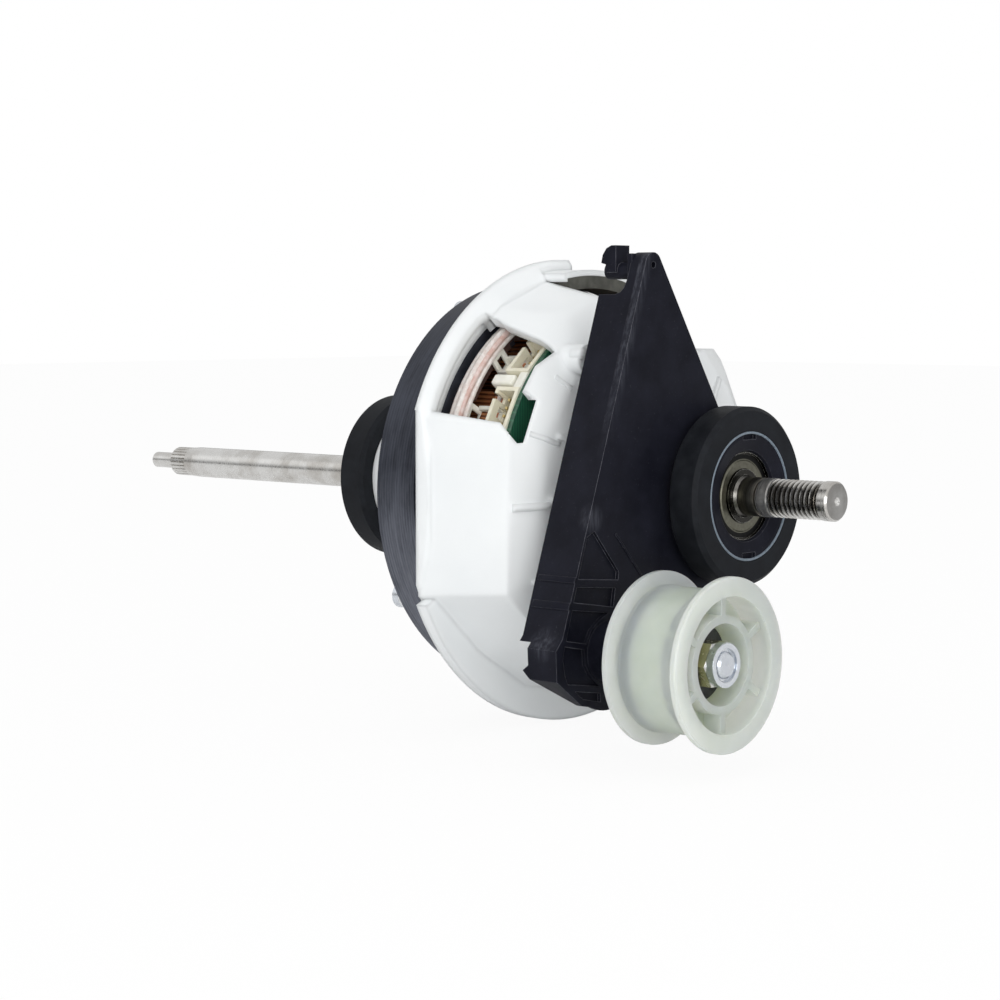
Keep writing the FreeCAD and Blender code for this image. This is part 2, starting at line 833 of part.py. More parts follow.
def build_front_cover():
    rear = -S.cover_rear
    body = new_body("front_cover_shell")
    loft = body.newObject("PartDesign::AdditiveLoft", "front_cover_drum")
    full, edge, shoulder = S.drum_radius, S.drum_edge_radius, S.shoulder_radius
    front = facet_sketch(
        body, -S.drum_front, S.drum_side_radius, S.drum_far_radius, S.drum_front_radius, S.drum_front_flat
    )
    loft.Profile = facet_sketch(body, rear, full, full, full, S.drum_flat)
    loft.Sections = [
        front,
        facet_sketch(body, -S.drum_edge, edge, S.drum_edge_far_radius, S.drum_edge_top_radius, S.drum_edge_flat),
        facet_sketch(body, -S.shoulder_front, shoulder, shoulder, shoulder, shoulder - 0.5),
    ]
    loft.Ruled = True
    settle(body, loft, False)

    nose = new_sketch(body, "XZ_Plane")
    draw_polygon(
        nose,
        [
            (-S.shoulder_front - 1.0, 0.0),
            (-S.shoulder_front - 1.0, S.shoulder_radius - 1.2),
            (-S.shoulder_front, S.shoulder_radius - 1.2),
            (-S.cone_front, S.cone_radius),
            (-S.cone_front, S.journal_radius),
            (-S.ring_width - 0.1, S.journal_radius),
            (-S.ring_width - 0.1, S.hub_radius),
            (-3.0, S.hub_radius),
            (-3.0, 0.0),
        ],
    )
    revolve(body, nose)
    add_cone_ribs(body, -S.shoulder_front, -S.cone_front, S.shoulder_radius - 1.2, S.cone_radius, 1)

    flange = new_sketch(body, "XZ_Plane")
    inside = S.stack_radius + 0.4
    draw_polygon(
        flange,
        [
            (rear, inside),
            (rear, S.flange_radius),
            (rear + S.flange_rim, S.flange_radius),
            (rear + S.flange_width + 0.4, inside + 1.8),
            (rear + S.flange_width + 0.4, inside),
        ],
    )
    revolve(body, flange)

    cavity = new_sketch(body, "XZ_Plane")
    seat = S.stack_radius - S.stack_step + 0.1
    draw_polygon(
        cavity,
        [
            (rear - 0.5, 0.0),
            (rear - 0.5, seat),
            (-S.stack_front, seat),
            (-S.stack_front, seat - 1.0),
            (-S.drum_front - 1.2, S.drum_front_radius - 1.2 - S.cover_wall),
            (-S.shoulder_front - 2.6, S.shoulder_radius - 0.4 - S.cover_wall),
            (-S.cone_front - 2.8, S.cone_radius - 1.0),
            (-S.cone_front - 2.8, 12.0),
            *nose_cavity(as_size(0.0), 1),
        ],
    )
    revolve(body, cavity, cut=True)

    label = new_sketch(body, "YZ_Plane", rear - 0.5)
    clear = S.flange_radius + 20.0
    draw_box(label, (-clear, -26.0), (-S.label_flat, 24.0))
    pocket(body, label, S.flange_width + 1.5, forward=True)
    exit_low = 40.0
    flange_end = new_sketch(body, "YZ_Plane", rear - 0.5)
    draw_box(flange_end, (3.0, exit_low), (56.0, clear))
    pocket(body, flange_end, S.flange_width + 4.0, forward=True)
    cable_exit = new_sketch(body, "YZ_Plane", rear + 2.0)
    draw_box(cable_exit, (-11.3, exit_low), (56.0, clear))
    pocket(body, cable_exit, S.cover_rear - S.cone_front, forward=True)

    window = new_body("window_tool")
    opening = new_sketch(window, "XY_Plane", S.journal_radius + 8.0)
    draw_polygon(
        opening,
        [
            (-S.window_edge, -19.4),
            (-43.4, -19.6),
            (-40.4, -21.7),
            (-39.5, -20.8),
            (-39.6, -8.4),
            (-41.2, -9.2),
            (-41.0, 7.6),
            (-43.5, 9.2),
            (-60.5, 13.7),
            (-63.5, 15.3),
            (-S.window_edge + 0.4, 15.6),
            (-S.window_edge, 12.0),
        ],
    )
    pad(window, opening, S.foot_flange_radius)
    place(window, degrees=SIZES["window_turn"])

    foot = cut(
        "foot_flange",
        cylinder("foot_sector", S.foot_flange_radius, S.flange_width, rear + S.foot_flange_offset,
                 sweep=FOOT_FLANGE_SWEEP, start=FOOT_FLANGE_START),
        cylinder("foot_bore", S.stack_radius, S.flange_width + 2.0, rear + S.foot_flange_offset - 1.0),
    )
    arch = cut(
        "cable_arch",
        cylinder("arch_sector", S.arch_radius, S.arch_width, rear + 1.0,
                 sweep=ARCH_SWEEP, start=ARCH_START),
        cylinder("arch_bore", S.arch_radius - S.arch_wall, S.arch_width + 2.0, rear),
    )
    bosses = []
    for angle in SCREW_ANGLES:
        y, z = polar(S.screw_circle, angle)
        bosses.append(cylinder("screw_boss", S.screw_boss_radius, S.screw_boss_length, -S.stack_front, y, z))
    for i in range(count("pillar_count")):
        y, z = polar(S.pillar_circle, FIRST_PILLAR + 360.0 * i / count("pillar_count"))
        length = -board_front - S.pillar_front
        bosses.append(cylinder("board_pillar", S.pillar_radius, length, board_front, y, z))
    y, z = polar(S.guide_boss_circle, GUIDE_BOSS_ANGLE)
    guide_start = 3.0 - S.drum_front
    bosses.append(cylinder("guide_boss", S.pillar_radius, -S.pillar_front + 1.5 - guide_start, guide_start, y, z))

    holes = []
    for angle in SCREW_ANGLES:
        y, z = polar(S.screw_circle, angle)
        holes.append(cylinder("screw_hole", S.screw_radius, S.screw_bite + 1.0, -S.stack_front - 1.0, y, z))
    for i in range(count("pillar_count")):
        y, z = polar(S.pillar_circle, FIRST_PILLAR + 360.0 * i / count("pillar_count"))
        depth = S.pillar_screw_bite + 1.0
        holes.append(cylinder("pillar_hole", S.pillar_screw_radius, depth, board_front - 1.0, y, z))
    lip_start = -S.window_edge - S.window_lip_depth
    lip = cylinder("window_lip", S.window_lip_radius, S.window_lip_depth + 0.1, lip_start,
                   sweep=WINDOW_LIP_SWEEP, start=WINDOW_LIP_START)
    solid = fuse("front_cover_solid", body, foot, arch, *bosses)
    finish(cut("front_cover", solid, window, lip, *holes), "front_cover")


def build_rear_cover():
    start = -S.stack_rear
    skirt = start - S.rear_skirt_length
    shoulder = -S.rear_shoulder
    cone_end = -S.rear_cone_end
    nose = rear_face + S.ring_width + 0.1
    body = turned(
        "rear_cover_shell",
        [
            (start, 0.0),
            (start, S.rear_skirt_radius),
            (skirt, S.rear_skirt_radius),
            (shoulder, S.rear_shoulder_radius),
            (cone_end, S.rear_cone_radius),
            (cone_end, S.journal_radius),
            (nose, S.journal_radius),
            (nose, S.hub_radius),
            (rear_face + 3.0, S.hub_radius),
            (rear_face + 3.0, 0.0),
        ],
    )
    add_cone_ribs(body, shoulder, cone_end, S.rear_shoulder_radius - 0.5, S.rear_cone_radius, -1)
    cavity = new_sketch(body, "XZ_Plane")
    wall = S.cover_wall
    draw_polygon(
        cavity,
        [
            (start + 0.5, 0.0),
            (start + 0.5, S.yoke_radius + 0.7),
            (skirt, S.yoke_radius + 0.7),
            (start - S.rear_insulator_height - 0.5, S.yoke_radius + 0.2),
            (start - S.coil_overhang - 0.4, S.coil_outer_radius + 0.5),
            (shoulder + 0.6, S.rear_shoulder_radius - wall - 0.8),
            (cone_end + 2.0, S.rear_cone_radius - 1.4),
            (cone_end + 2.0, 12.0),
            *nose_cavity(rear_face, -1),
        ],
    )
    revolve(body, cavity, cut=True)
    pads, holes = [], []
    pad_length = S.rear_skirt_length + 1.0
    for angle in SCREW_ANGLES:
        y, z = polar(S.screw_circle, angle)
        pads.append(cylinder("rear_screw_pad", S.screw_head_radius, pad_length, start - pad_length, y, z))
        hole = S.screw_radius + S.screw_slack
        holes.append(cylinder("rear_screw_hole", hole, pad_length + 2.0, start - pad_length - 1.0, y, z))
        holes.append(cylinder("rear_head_room", S.screw_head_radius + 0.3, 6.0, start - pad_length - 6.0, y, z))
    solid = fuse("rear_cover_solid", body, *pads)
    finish(cut("rear_cover", solid, *holes), "rear_cover")

    screws = []
    tip = -S.stack_front + S.screw_bite
    head = start - pad_length - S.screw_head_height
    for angle in SCREW_ANGLES:
        y, z = polar(S.screw_circle, angle)
        shank = cylinder("screw_shank", S.screw_radius, tip - head, head, y, z)
        cap = cylinder("screw_cap", S.screw_head_radius, S.screw_head_height, head, y, z)
        socket = cylinder("screw_socket", S.screw_radius * 0.8, S.screw_head_height * 0.6, head - 0.1, y, z)
        screws.append(cut("cover_screw", fuse("screw_solid", shank, cap), socket))
    finish(group("cover_screws", *screws), "cover_screws")


def build_board():
    disc = cylinder("board_disc", S.board_radius, S.board_thickness, -S.board_rear)
    tools = [cylinder("board_bore", S.board_bore, S.board_thickness + 2.0, -S.board_rear - 1.0)]
    screws = []
    for i in range(count("pillar_count")):
        y, z = polar(S.pillar_circle, FIRST_PILLAR + 360.0 * i / count("pillar_count"))
        hole = S.pillar_screw_radius + S.screw_slack
        tools.append(cylinder("board_hole", hole, S.board_thickness + 2.0, -S.board_rear - 1.0, y, z))
        head_radius = 2 * S.pillar_screw_radius
        head = cylinder("board_screw_head", head_radius, 1.8, -S.board_rear - 1.8, y, z)
        shank_length = S.board_thickness + S.pillar_screw_bite
        shank = cylinder("board_screw_shank", S.pillar_screw_radius, shank_length, -S.board_rear, y, z)
        screws.append(fuse("board_screw", head, shank))
    for angle in SCREW_ANGLES:
        y, z = polar(S.screw_circle, angle)
        notch = S.screw_boss_radius + 1.0
        tools.append(cylinder("board_notch", notch, S.board_thickness + 2.0, -S.board_rear - 1.0, y, z))
    finish(cut("circuit_board", disc, *tools), "circuit_board")
    finish(group("board_screws", *screws), "board_screws")

    pins = []
    front = -S.board_rear
    back = front - S.plug_height
    half = S.plug_width / 2
    low = S.plug_reach - S.plug_length
    wall = S.plug_wall
    middle = (front + back) / 2
    for name, angle in zip(("upper", "lower"), PLUG_ANGLES):
        body = new_body(f"{name}_header")
        outline = new_sketch(body, "XY_Plane", low)
        draw_box(outline, (back, -half), (front, half))
        pad(body, outline, S.plug_length)
        hollow = new_sketch(body, "XY_Plane", low + wall)
        draw_box(hollow, (back + wall, wall - half), (front - wall, half - wall))
        pocket(body, hollow, S.plug_length, forward=True)
        latch = new_sketch(body, "YZ_Plane", back - 1.0)
        draw_box(latch, (-1.6, S.plug_reach - 5.6), (1.6, S.plug_reach - 2.4))
        pocket(body, latch, wall + 2.0, forward=True)
        keys = new_sketch(body, "YZ_Plane", back - 1.0)
        draw_box(keys, (half - wall - 2.6, S.plug_reach - 4.0), (half - wall - 0.8, S.plug_reach + 1.0))
        pocket(body, keys, wall + 2.0, forward=True)
        finish(place(body, degrees=angle - 90.0), f"{name}_header")
        for i in range(count("pin_count")):
            y = (i - (count("pin_count") - 1) / 2) * S.pin_pitch
            reach = S.pin_half
            pin = box(
                "pin",
                (middle - reach, y - reach, low + wall),
                (middle + reach, y + reach, S.plug_reach - 2.0),
            )
            pins.append(place(group("header_pin", pin), degrees=angle - 90.0))
    finish(group("header_pins", *pins), "header_pins")


def inset(corners, wall):
    """Corners of a polygon moved inwards by a wall; the corners run anticlockwise."""
    moved = []
    total = len(corners)
    for i in range(total):
        (ax, ay), (bx, by), (cx, cy) = corners[i - 1], corners[i], corners[(i + 1) % total]
        ux, uy = bx - ax, by - ay
        vx, vy = cx - bx, cy - by
        lu, lv = math.hypot(ux, uy), math.hypot(vx, vy)
        nx, ny = -uy / lu, ux / lu
        mx, my = -vy / lv, vx / lv
        scale = wall / (1.0 + nx * mx + ny * my)
        moved.append((bx + (nx + mx) * scale, by + (ny + my) * scale))
    return moved


FOOT_CORNERS = ((-65.9, -34.7), (-68.6, -37.7), (-68.2, -46.0), (-58.1, -53.4), (-47.5, -55.6))


def arm_corners():
    """Straight-sided outline of the arm in (y, z), with its apex, its foot and its two shoulders."""
    ay, az, ar = -SIZES["apex_y"], SIZES["apex_z"], SIZES["apex_radius"]
    ry, rz, rr = -SIZES["roller_y"], -SIZES["roller_z"], SIZES["foot_radius"]
    top_y, top_z = FOOT_CORNERS[0]
    lean = math.atan2(top_z - az, top_y - ay) - math.acos(ar / math.hypot(top_y - ay, top_z - az))
    ny, nz = math.cos(lean), math.sin(lean)
    sy, sz = SIZES["shoulder_y"], SIZES["shoulder_z"]
    side = math.hypot(sy - ay, sz - az)
    turn = math.atan2(sz - az, sy - ay) + math.acos(ar / side)
    hub = SIZES["arm_hub_radius"]
    low = math.atan2(rz, ry)
    low_y, low_z = math.cos(low + math.pi / 2), math.sin(low + math.pi / 2)
    return [
        (ay + ar * math.cos(turn), az + ar * math.sin(turn)),
        (ay + ar * ny, az + ar * nz),
        *FOOT_CORNERS,
        (ry + rr * low_y, rz + rr * low_z),
        (hub * low_y, hub * low_z),
        (hub, 0.0),
        (sy, sz),
    ]


def build_arm():
    """Box-shaped moulding, open at the rear, that swings about the front hub."""
    body = new_body("tensioner_arm")
    outline = arm_corners()
    outline = outline[:-2] + [(0.0, 0.0), outline[-1]]
    depth = S.arm_depth
    pad(body, draw_polygon(new_sketch(body, "YZ_Plane", arm_back), outline), depth)
    apex_y, apex_z, roller_y, roller_z = -S.apex_y, S.apex_z, -S.roller_y, -S.roller_z
    for y, z, radius in (
        (apex_y, apex_z, S.apex_radius),
        (roller_y, roller_z, S.foot_radius),
        (0.0, 0.0, S.arm_hub_radius),
    ):
        pad(body, draw_circle(new_sketch(body, "YZ_Plane", arm_back), y, z, radius), depth)

    wall = SIZES["arm_wall"]
    deep = depth - S.arm_plate
    inner = inset(outline, wall)
    pocket(body, draw_polygon(new_sketch(body, "YZ_Plane", arm_back), inner), deep, forward=True)
    foot = new_sketch(body, "YZ_Plane", arm_back)
    pocket(body, draw_circle(foot, roller_y, roller_z, S.foot_radius - S.arm_wall), deep, forward=True)
    ring = new_sketch(body, "YZ_Plane", arm_back)
    pad(body, draw_circle(ring, 0.0, 0.0, S.arm_hub_radius), depth)

    rib = S.arm_rib_wall / 2
    for start, end in (
        ((roller_y, roller_z), (0.0, 0.0)),
        ((-54.6, -8.0), (-6.0, -8.0)),
        ((-49.6, 8.0), (-10.0, 8.0)),
        ((-39.5, 38.0), (-8.5, 38.0)),
        ((apex_y - 1.0, 60.0), (-10.0, 20.0)),
        ((-38.0, 42.0), (-12.0, 20.0)),
    ):
        y0, z0 = as_size(start[0]), as_size(start[1])
        y1, z1 = as_size(end[0]), as_size(end[1])
        length = math.hypot(y1.value - y0.value, z1.value - z0.value)
        ny, nz = -(z1.value - z0.value) / length, (y1.value - y0.value) / length
        strip = new_sketch(body, "YZ_Plane", arm_back + 2.0)
        corners = [(y0 + rib * ny, z0 + rib * nz), (y0 - rib * ny, z0 - rib * nz),
                   (y1 - rib * ny, z1 - rib * nz), (y1 + rib * ny, z1 + rib * nz)]
        pad(body, draw_polygon(strip, corners), depth - S.arm_plate - 1.9)

    boss_start = arm_back + 4.0
    boss = new_sketch(body, "YZ_Plane", boss_start)
    boss_end = S.roller_web_start - 1.0
    pad(body, draw_circle(boss, roller_y, roller_z, S.boss_radius), boss_end - boss_start)

    bore = new_sketch(body, "YZ_Plane", arm_back - 1.0)
    draw_circle(bore, 0.0, 0.0, S.journal_radius + S.arm_clearance)
    pocket(body, bore, depth + 4.0, forward=True)
    bolt_hole = new_sketch(body, "YZ_Plane", arm_back - 1.0)
    draw_circle(bolt_hole, roller_y, roller_z, S.bolt_radius + 0.05)
    pocket(body, bolt_hole, boss_end - arm_back + 2.0, forward=True)
    head_room = new_sketch(body, "YZ_Plane", arm_back - 1.0)
    draw_circle(head_room, roller_y, roller_z, S.bolt_head_radius + 0.3)
    pocket(body, head_room, 5.0, forward=True)
    shelf = new_sketch(body, "XZ_Plane", S.roller_y - S.foot_radius)
    draw_polygon(
        shelf,
        [
            (arm_back - 1.0, -36.2),
            (-S.foot_shelf, -36.2),
            (-S.foot_shelf, -42.3),
            (-S.foot_shelf - 2.0, -43.8),
            (arm_face - 0.9, -54.2),
            (arm_face - 0.9, -62.0),
            (arm_back - 1.0, -62.0),
        ],
    )
    pocket(body, shelf, 60.0, forward=True)

    notch = new_sketch(body, "XZ_Plane", -S.foot_radius)
    step = arm_face - S.apex_depth
    low = S.apex_notch_z
    draw_polygon(
        notch,
        [(arm_back - 1.0, low), (step - 3.2, low), (step - 1.4, low + 0.6), (step - 0.5, low + 1.8), (step, low + 4.0),
         (step, S.apex_z + 20.0), (arm_back - 1.0, S.apex_z + 20.0)],
    )
    pocket(body, notch, 80.0, forward=True)
    eye = new_sketch(body, "YZ_Plane", arm_face - 1.6)
    draw_circle(eye, apex_y, apex_z, 0.9)
    pocket(body, eye, 2.0, forward=True)

    reach = S.hook_reach
    root = arm_face - S.apex_depth
    neck = new_sketch(body, "YZ_Plane", root - reach + 0.6)
    draw_circle(neck, apex_y - 0.6, apex_z - 1.6, S.hook_radius)
    pad(body, neck, reach)
    cap = new_sketch(body, "XZ_Plane", S.apex_y - S.hook_cap_width / 2 + 0.6)
    top = apex_z + 5.4
    draw_polygon(
        cap,
        [
            (root - reach, apex_z + 0.6),
            (root - reach + 0.5, apex_z + 2.8),
            (root - reach + 1.8, top - 0.8),
            (root - reach + 3.6, top),
            (root - reach + S.hook_cap_length, top),
            (root - reach + S.hook_cap_length, apex_z - 2.0),
            (root - reach + 1.6, apex_z - 2.0),
            (root - reach + 1.6, apex_z + 0.2),
        ],
    )
    pad(body, cap, S.hook_cap_width)
    finish(body, "tensioner_arm")


def build_roller():
    start = S.roller_start
    end = start + S.roller_width
    flange = S.roller_flange
    outer = S.roller_flange_radius
    drum = S.roller_drum_radius
    bore = S.sleeve_radius + S.roller_clearance
    recess = S.roller_recess_depth
    hub_end = end - S.roller_hub_set
    body = turned(
        "tensioner_roller",
        [
            (start, S.roller_hub_radius),
            (start + 5.0, S.roller_hub_radius),
            (start + 5.0, S.roller_recess_radius),
            (start, S.roller_recess_radius),
            (start, outer - 0.4),
            (start + 0.4, outer),
            (start + flange - 0.6, outer),
            (start + flange + 0.5, drum + 0.3),
            (start + flange + 1.2, drum),
            (end - flange - 1.2, drum),
            (end - flange - 0.5, drum + 0.3),
            (end - flange + 0.6, outer),
            (end - 0.4, outer),
            (end, outer - 0.4),
            (end, S.roller_recess_radius),
            (end - recess, S.roller_recess_radius),
            (end - recess, S.roller_hub_radius),
            (hub_end, S.roller_hub_radius),
            (hub_end, S.roller_hub_bore),
            (S.roller_web_end, S.roller_hub_bore),
            (S.roller_web_end, bore),
            (S.roller_web_start, bore),
            (S.roller_web_start, S.roller_hub_bore),
            (start, S.roller_hub_bore),
        ],
    )
    rib = new_sketch(body, "YZ_Plane", end - recess - 0.5)
    half = S.roller_rib_width / 2
    draw_box(rib, (-half, S.roller_hub_radius - 0.4), (half, S.roller_recess_radius + 0.4))
    pattern(body, pad(body, rib, recess + 0.5 - S.roller_hub_set), count("roller_rib_count"))
    finish(place(body, y=-S.roller_y, z=-S.roller_z), "tensioner_roller")

    y, z = -S.roller_y, -S.roller_z
    boss_end = S.roller_web_start - 1.0
    washer_start = S.roller_web_end + 0.2
    sleeve = cut(
        "roller_sleeve",
        cylinder("sleeve_outside", S.sleeve_radius, washer_start - boss_end, boss_end, y, z),
        cylinder("sleeve_bore", S.bolt_radius + 0.05, washer_start - boss_end + 2.0, boss_end - 1.0, y, z),
    )
    finish(sleeve, "roller_sleeve")
    rear_washer = cut(
        "roller_rear_washer",
        cylinder("rear_washer_disc", S.rear_washer_radius, 0.8, boss_end, y, z),
        cylinder("rear_washer_bore", S.sleeve_radius + 0.05, 3.0, boss_end - 1.0, y, z),
    )
    finish(rear_washer, "roller_rear_washer")
    washer = cut(
        "roller_front_washer",
        cylinder("washer_disc", S.washer_radius, S.washer_thickness, washer_start, y, z),
        cylinder("washer_bore", S.bolt_radius + 0.05, 3.0, washer_start - 1.0, y, z),
    )
    finish(washer, "roller_front_washer")
    nut_start = washer_start + S.washer_thickness
    body = new_body("roller_lock_nut")
    flats = S.nut_flat_radius / math.cos(math.pi / 6)
    hexagon = new_sketch(body, "YZ_Plane", nut_start)
    draw_polygon(hexagon, [polar(flats, 60.0 * i) for i in range(6)])
    pad(body, hexagon, S.nut_height)
    collar = new_sketch(body, "YZ_Plane", nut_start + S.nut_height)
    draw_circle(collar, 0.0, 0.0, S.nut_collar_radius)
    pad(body, collar, S.nut_collar_height)
    hole = new_sketch(body, "YZ_Plane", nut_start - 1.0)
    draw_circle(hole, 0.0, 0.0, S.bolt_radius)
    pocket(body, hole, S.nut_height + S.nut_collar_height + 2.0, forward=True)
    lip = new_sketch(body, "YZ_Plane", nut_start + S.nut_height + S.nut_collar_height - 0.9)
    draw_circle(lip, 0.0, 0.0, S.nut_collar_radius - 1.5)
    pocket(body, lip, 2.0, forward=True)
    finish(place(body, y=y, z=z), "roller_lock_nut")

    head_end = arm_back + 4.0
    bolt = turned(
        "roller_bolt",
        [
            (head_end - S.bolt_head_height, 0.0),
            (head_end - S.bolt_head_height, S.bolt_head_radius - 0.5),
            (head_end - S.bolt_head_height + 0.5, S.bolt_head_radius),
            (head_end, S.bolt_head_radius),
            (head_end, S.bolt_radius),
            (S.bolt_end - 0.6, S.bolt_radius),
            (S.bolt_end, S.bolt_radius - 0.6),
            (S.bolt_end, 0.0),
        ],
    )
    finish(place(bolt, y=y, z=z), "roller_bolt")


build_ring("front_rubber_ring", 0.0, 0.0)
build_ring("rear_rubber_ring", rear_face, 180.0)
build_holder("front_bearing_holder", 0.0, 0.0, S.front_bearing_radius)
build_holder("rear_bearing_holder", rear_face, 180.0, S.rear_bearing_radius, S.wave_thickness)
build_bearing("front", bearing_face, 0.0, S.front_seat_radius, S.front_bearing_radius)
build_bearing("rear", rear_bearing_face, 180.0, S.fan_shaft_radius, S.rear_bearing_radius)
build_wave_washer()
build_shaft()
build_rotor()
build_stator()
build_front_cover()
build_rear_cover()
build_board()
build_arm()
build_roller()

doc.recompute()
for item in doc.Objects:
    if "Invalid" in item.State or "Error" in item.State:
        raise RuntimeError(f"{item.Label} failed: {item.State}")
os.makedirs("parts", exist_ok=True)
for item in nodes:
    shape = item.Shape
    if shape.isNull() or not shape.isValid() or not shape.Solids:
        raise RuntimeError(f"{item.Label} has no valid solid")
    shape.exportStep(f"parts/{item.Label}.step")
    print(f"{item.Label}: {len(shape.Solids)} solids, {shape.Volume:.1f} mm3")
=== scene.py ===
import math

import bpy
from mathutils import Matrix, Vector


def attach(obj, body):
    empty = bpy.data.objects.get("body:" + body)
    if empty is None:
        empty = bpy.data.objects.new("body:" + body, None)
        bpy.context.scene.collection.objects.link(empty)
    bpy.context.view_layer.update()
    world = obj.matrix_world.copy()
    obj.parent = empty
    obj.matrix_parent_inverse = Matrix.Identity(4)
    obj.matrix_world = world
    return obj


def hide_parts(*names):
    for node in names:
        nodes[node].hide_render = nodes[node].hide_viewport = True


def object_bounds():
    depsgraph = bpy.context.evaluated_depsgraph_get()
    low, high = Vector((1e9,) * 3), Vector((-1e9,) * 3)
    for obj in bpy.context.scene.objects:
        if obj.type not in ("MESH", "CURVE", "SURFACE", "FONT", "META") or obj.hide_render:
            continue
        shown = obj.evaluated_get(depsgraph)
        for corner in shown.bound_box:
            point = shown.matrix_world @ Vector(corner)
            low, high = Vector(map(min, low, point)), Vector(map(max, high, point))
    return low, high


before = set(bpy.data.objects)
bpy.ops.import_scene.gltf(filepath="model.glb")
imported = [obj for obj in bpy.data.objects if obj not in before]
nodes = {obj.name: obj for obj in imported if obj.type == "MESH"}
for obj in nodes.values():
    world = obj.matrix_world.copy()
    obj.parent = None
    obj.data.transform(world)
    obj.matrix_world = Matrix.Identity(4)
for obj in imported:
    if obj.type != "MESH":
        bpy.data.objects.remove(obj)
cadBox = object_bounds()
smoothAngle = math.radians(35)


# lengths in the dictionaries are millimetres
def metres(*lengths):
    return tuple(length * 0.001 for length in lengths)


def polar(radius, angle):
    # (y, z) of a place about the shaft, from +Y towards +Z
    return radius * math.cos(math.radians(angle)), radius * math.sin(math.radians(angle))


class Wire:
    # an output socket that sums, differences and products can be written with
    def __init__(self, finish, socket):
        self.finish = finish
        self.socket = socket

    def maths(self, operation, first, second):
        return self.finish.node("ShaderNodeMath", {"operation": operation}, {0: first, 1: second})

    def __add__(self, other):
        return self.maths("ADD", self, other)

    def __sub__(self, other):
        return self.maths("SUBTRACT", self, other)

    def __rsub__(self, other):
        return self.maths("SUBTRACT", other, self)

    def __mul__(self, other):
        return self.maths("MULTIPLY", self, other)

    __radd__ = __add__
    __rmul__ = __mul__


class Finish:
    # a material that is built node by node
    def __init__(self, name, **shader):
        self.material = bpy.data.materials.new(name)
        self.material.use_nodes = True
        self.tree = self.material.node_tree
        self.shader = self.tree.nodes["Principled BSDF"]
        for socket, value in shader.items():
            self.shader.inputs[socket.replace("_", " ")].default_value = value

    def node(self, kind, settings, inputs, output=0):
        made = self.tree.nodes.new(kind)
        for name, value in settings.items():
            if name == "stops":
                ramp = made.color_ramp.elements
                while len(ramp) < len(value):
                    ramp.new(0.5)
                for stop, (place, colour) in zip(ramp, value):
                    stop.position = place
                    shade = colour if isinstance(colour, tuple) else (colour,) * 3
                    stop.color = (*shade, 1.0)
            else:
                setattr(made, name, value)
        for name, value in inputs.items():
            if isinstance(value, Wire):
                self.tree.links.new(value.socket, made.inputs[name])
            else:
                made.inputs[name].default_value = value
        return Wire(self, made.outputs[output])

    def feed(self, socket, wire):
        self.tree.links.new(wire.socket, self.shader.inputs[socket])

    def spot(self):
        return self.node("ShaderNodeTexCoord", {}, {}, "Object")

    def place(self, scale=(1, 1, 1)):
        return self.node("ShaderNodeMapping", {}, {"Vector": self.spot(), "Scale": scale})

    def along(self, side):
        # the place along the side of that number: 0 is X, 1 is Y, 2 is Z
        return self.node("ShaderNodeSeparateXYZ", {}, {"Vector": self.spot()}, side)

    def fromShaft(self):
        # the distance from the shaft's axis
        return self.node("ShaderNodeVectorMath", {"operation": "LENGTH"}, {0: self.place((0, 1, 1))}, 1)

    def noise(self, size, detail=3.0, roughness=0.5, stretch=(1, 1, 1)):
        spot = self.place(stretch)
        inputs = {"Vector": spot, "Scale": 1000.0 / size, "Detail": detail, "Roughness": roughness}
        return self.node("ShaderNodeTexNoise", {}, inputs)

    def ramp(self, wire, *stops):
        return self.node("ShaderNodeValToRGB", {"stops": stops}, {"Fac": wire})

    def paint(self, wire, *stops):
        self.feed("Base Color", self.ramp(wire, *stops))

    def gloss(self, wire, *stops):
        self.feed("Roughness", self.ramp(wire, *stops))

    def mixed(self, mask, first, second):
        return self.node("ShaderNodeMix", {"data_type": "RGBA"}, {0: mask, 6: first, 7: second}, 2)

    def rounded(self, radius):
        # normals of the solid as if its edges had this radius in millimetres
        return self.node("ShaderNodeBevel", {"samples": 6}, {"Radius": radius * 0.001})

    def edges(self, radius):
        # 1 on sharp edges, 0 on flat faces
        flat = self.node("ShaderNodeNewGeometry", {}, {}, "True Normal")
        soft = self.rounded(radius)
        likeness = self.node("ShaderNodeVectorMath", {"operation": "DOT_PRODUCT"}, {0: flat, 1: soft}, 1)
        return self.ramp(likeness, (0.75, 1.0), (0.97, 0.0))

    def near(self, spot, centre, reach, core=0.3):
        # 1 at a place in millimetres, fading to 0 at a distance
        inputs = {0: spot, 1: tuple(side * 0.001 for side in centre)}
        away = self.node("ShaderNodeVectorMath", {"operation": "DISTANCE"}, inputs, 1)
        return self.ramp(away * (1000.0 / reach), (core, 1.0), (1.0, 0.0))

    def bump(self, height, depth, strength=1.0, radius=0.0):
        inputs = {"Height": height, "Distance": depth * 0.001, "Strength": strength}
        if radius:
            inputs["Normal"] = self.rounded(radius)
        self.feed("Normal", self.node("ShaderNodeBump", {}, inputs))

    def wear(self, *nodeNames):
        for name in nodeNames:
            target = nodes[name]
            target.data.materials.clear()
            target.data.materials.append(self.material)


print("materials")

whiteMoulding = Finish("whiteMoulding", Coat_Weight=0.12, Coat_Roughness=0.25)
cloud = whiteMoulding.noise(38.0, 4.0)
grain = whiteMoulding.noise(0.5, 3.0)
whiteMoulding.paint(cloud, (0.3, (0.8, 0.82, 0.83)), (0.7, (0.86, 0.875, 0.88)))
whiteMoulding.gloss(cloud * 0.7 + grain * 0.3, (0.3, 0.34), (0.7, 0.5))
whiteMoulding.bump(grain, 0.05, 0.5, 0.7)
whiteMoulding.wear("rear_cover", "rear_bearing_holder", "rear_insulator")

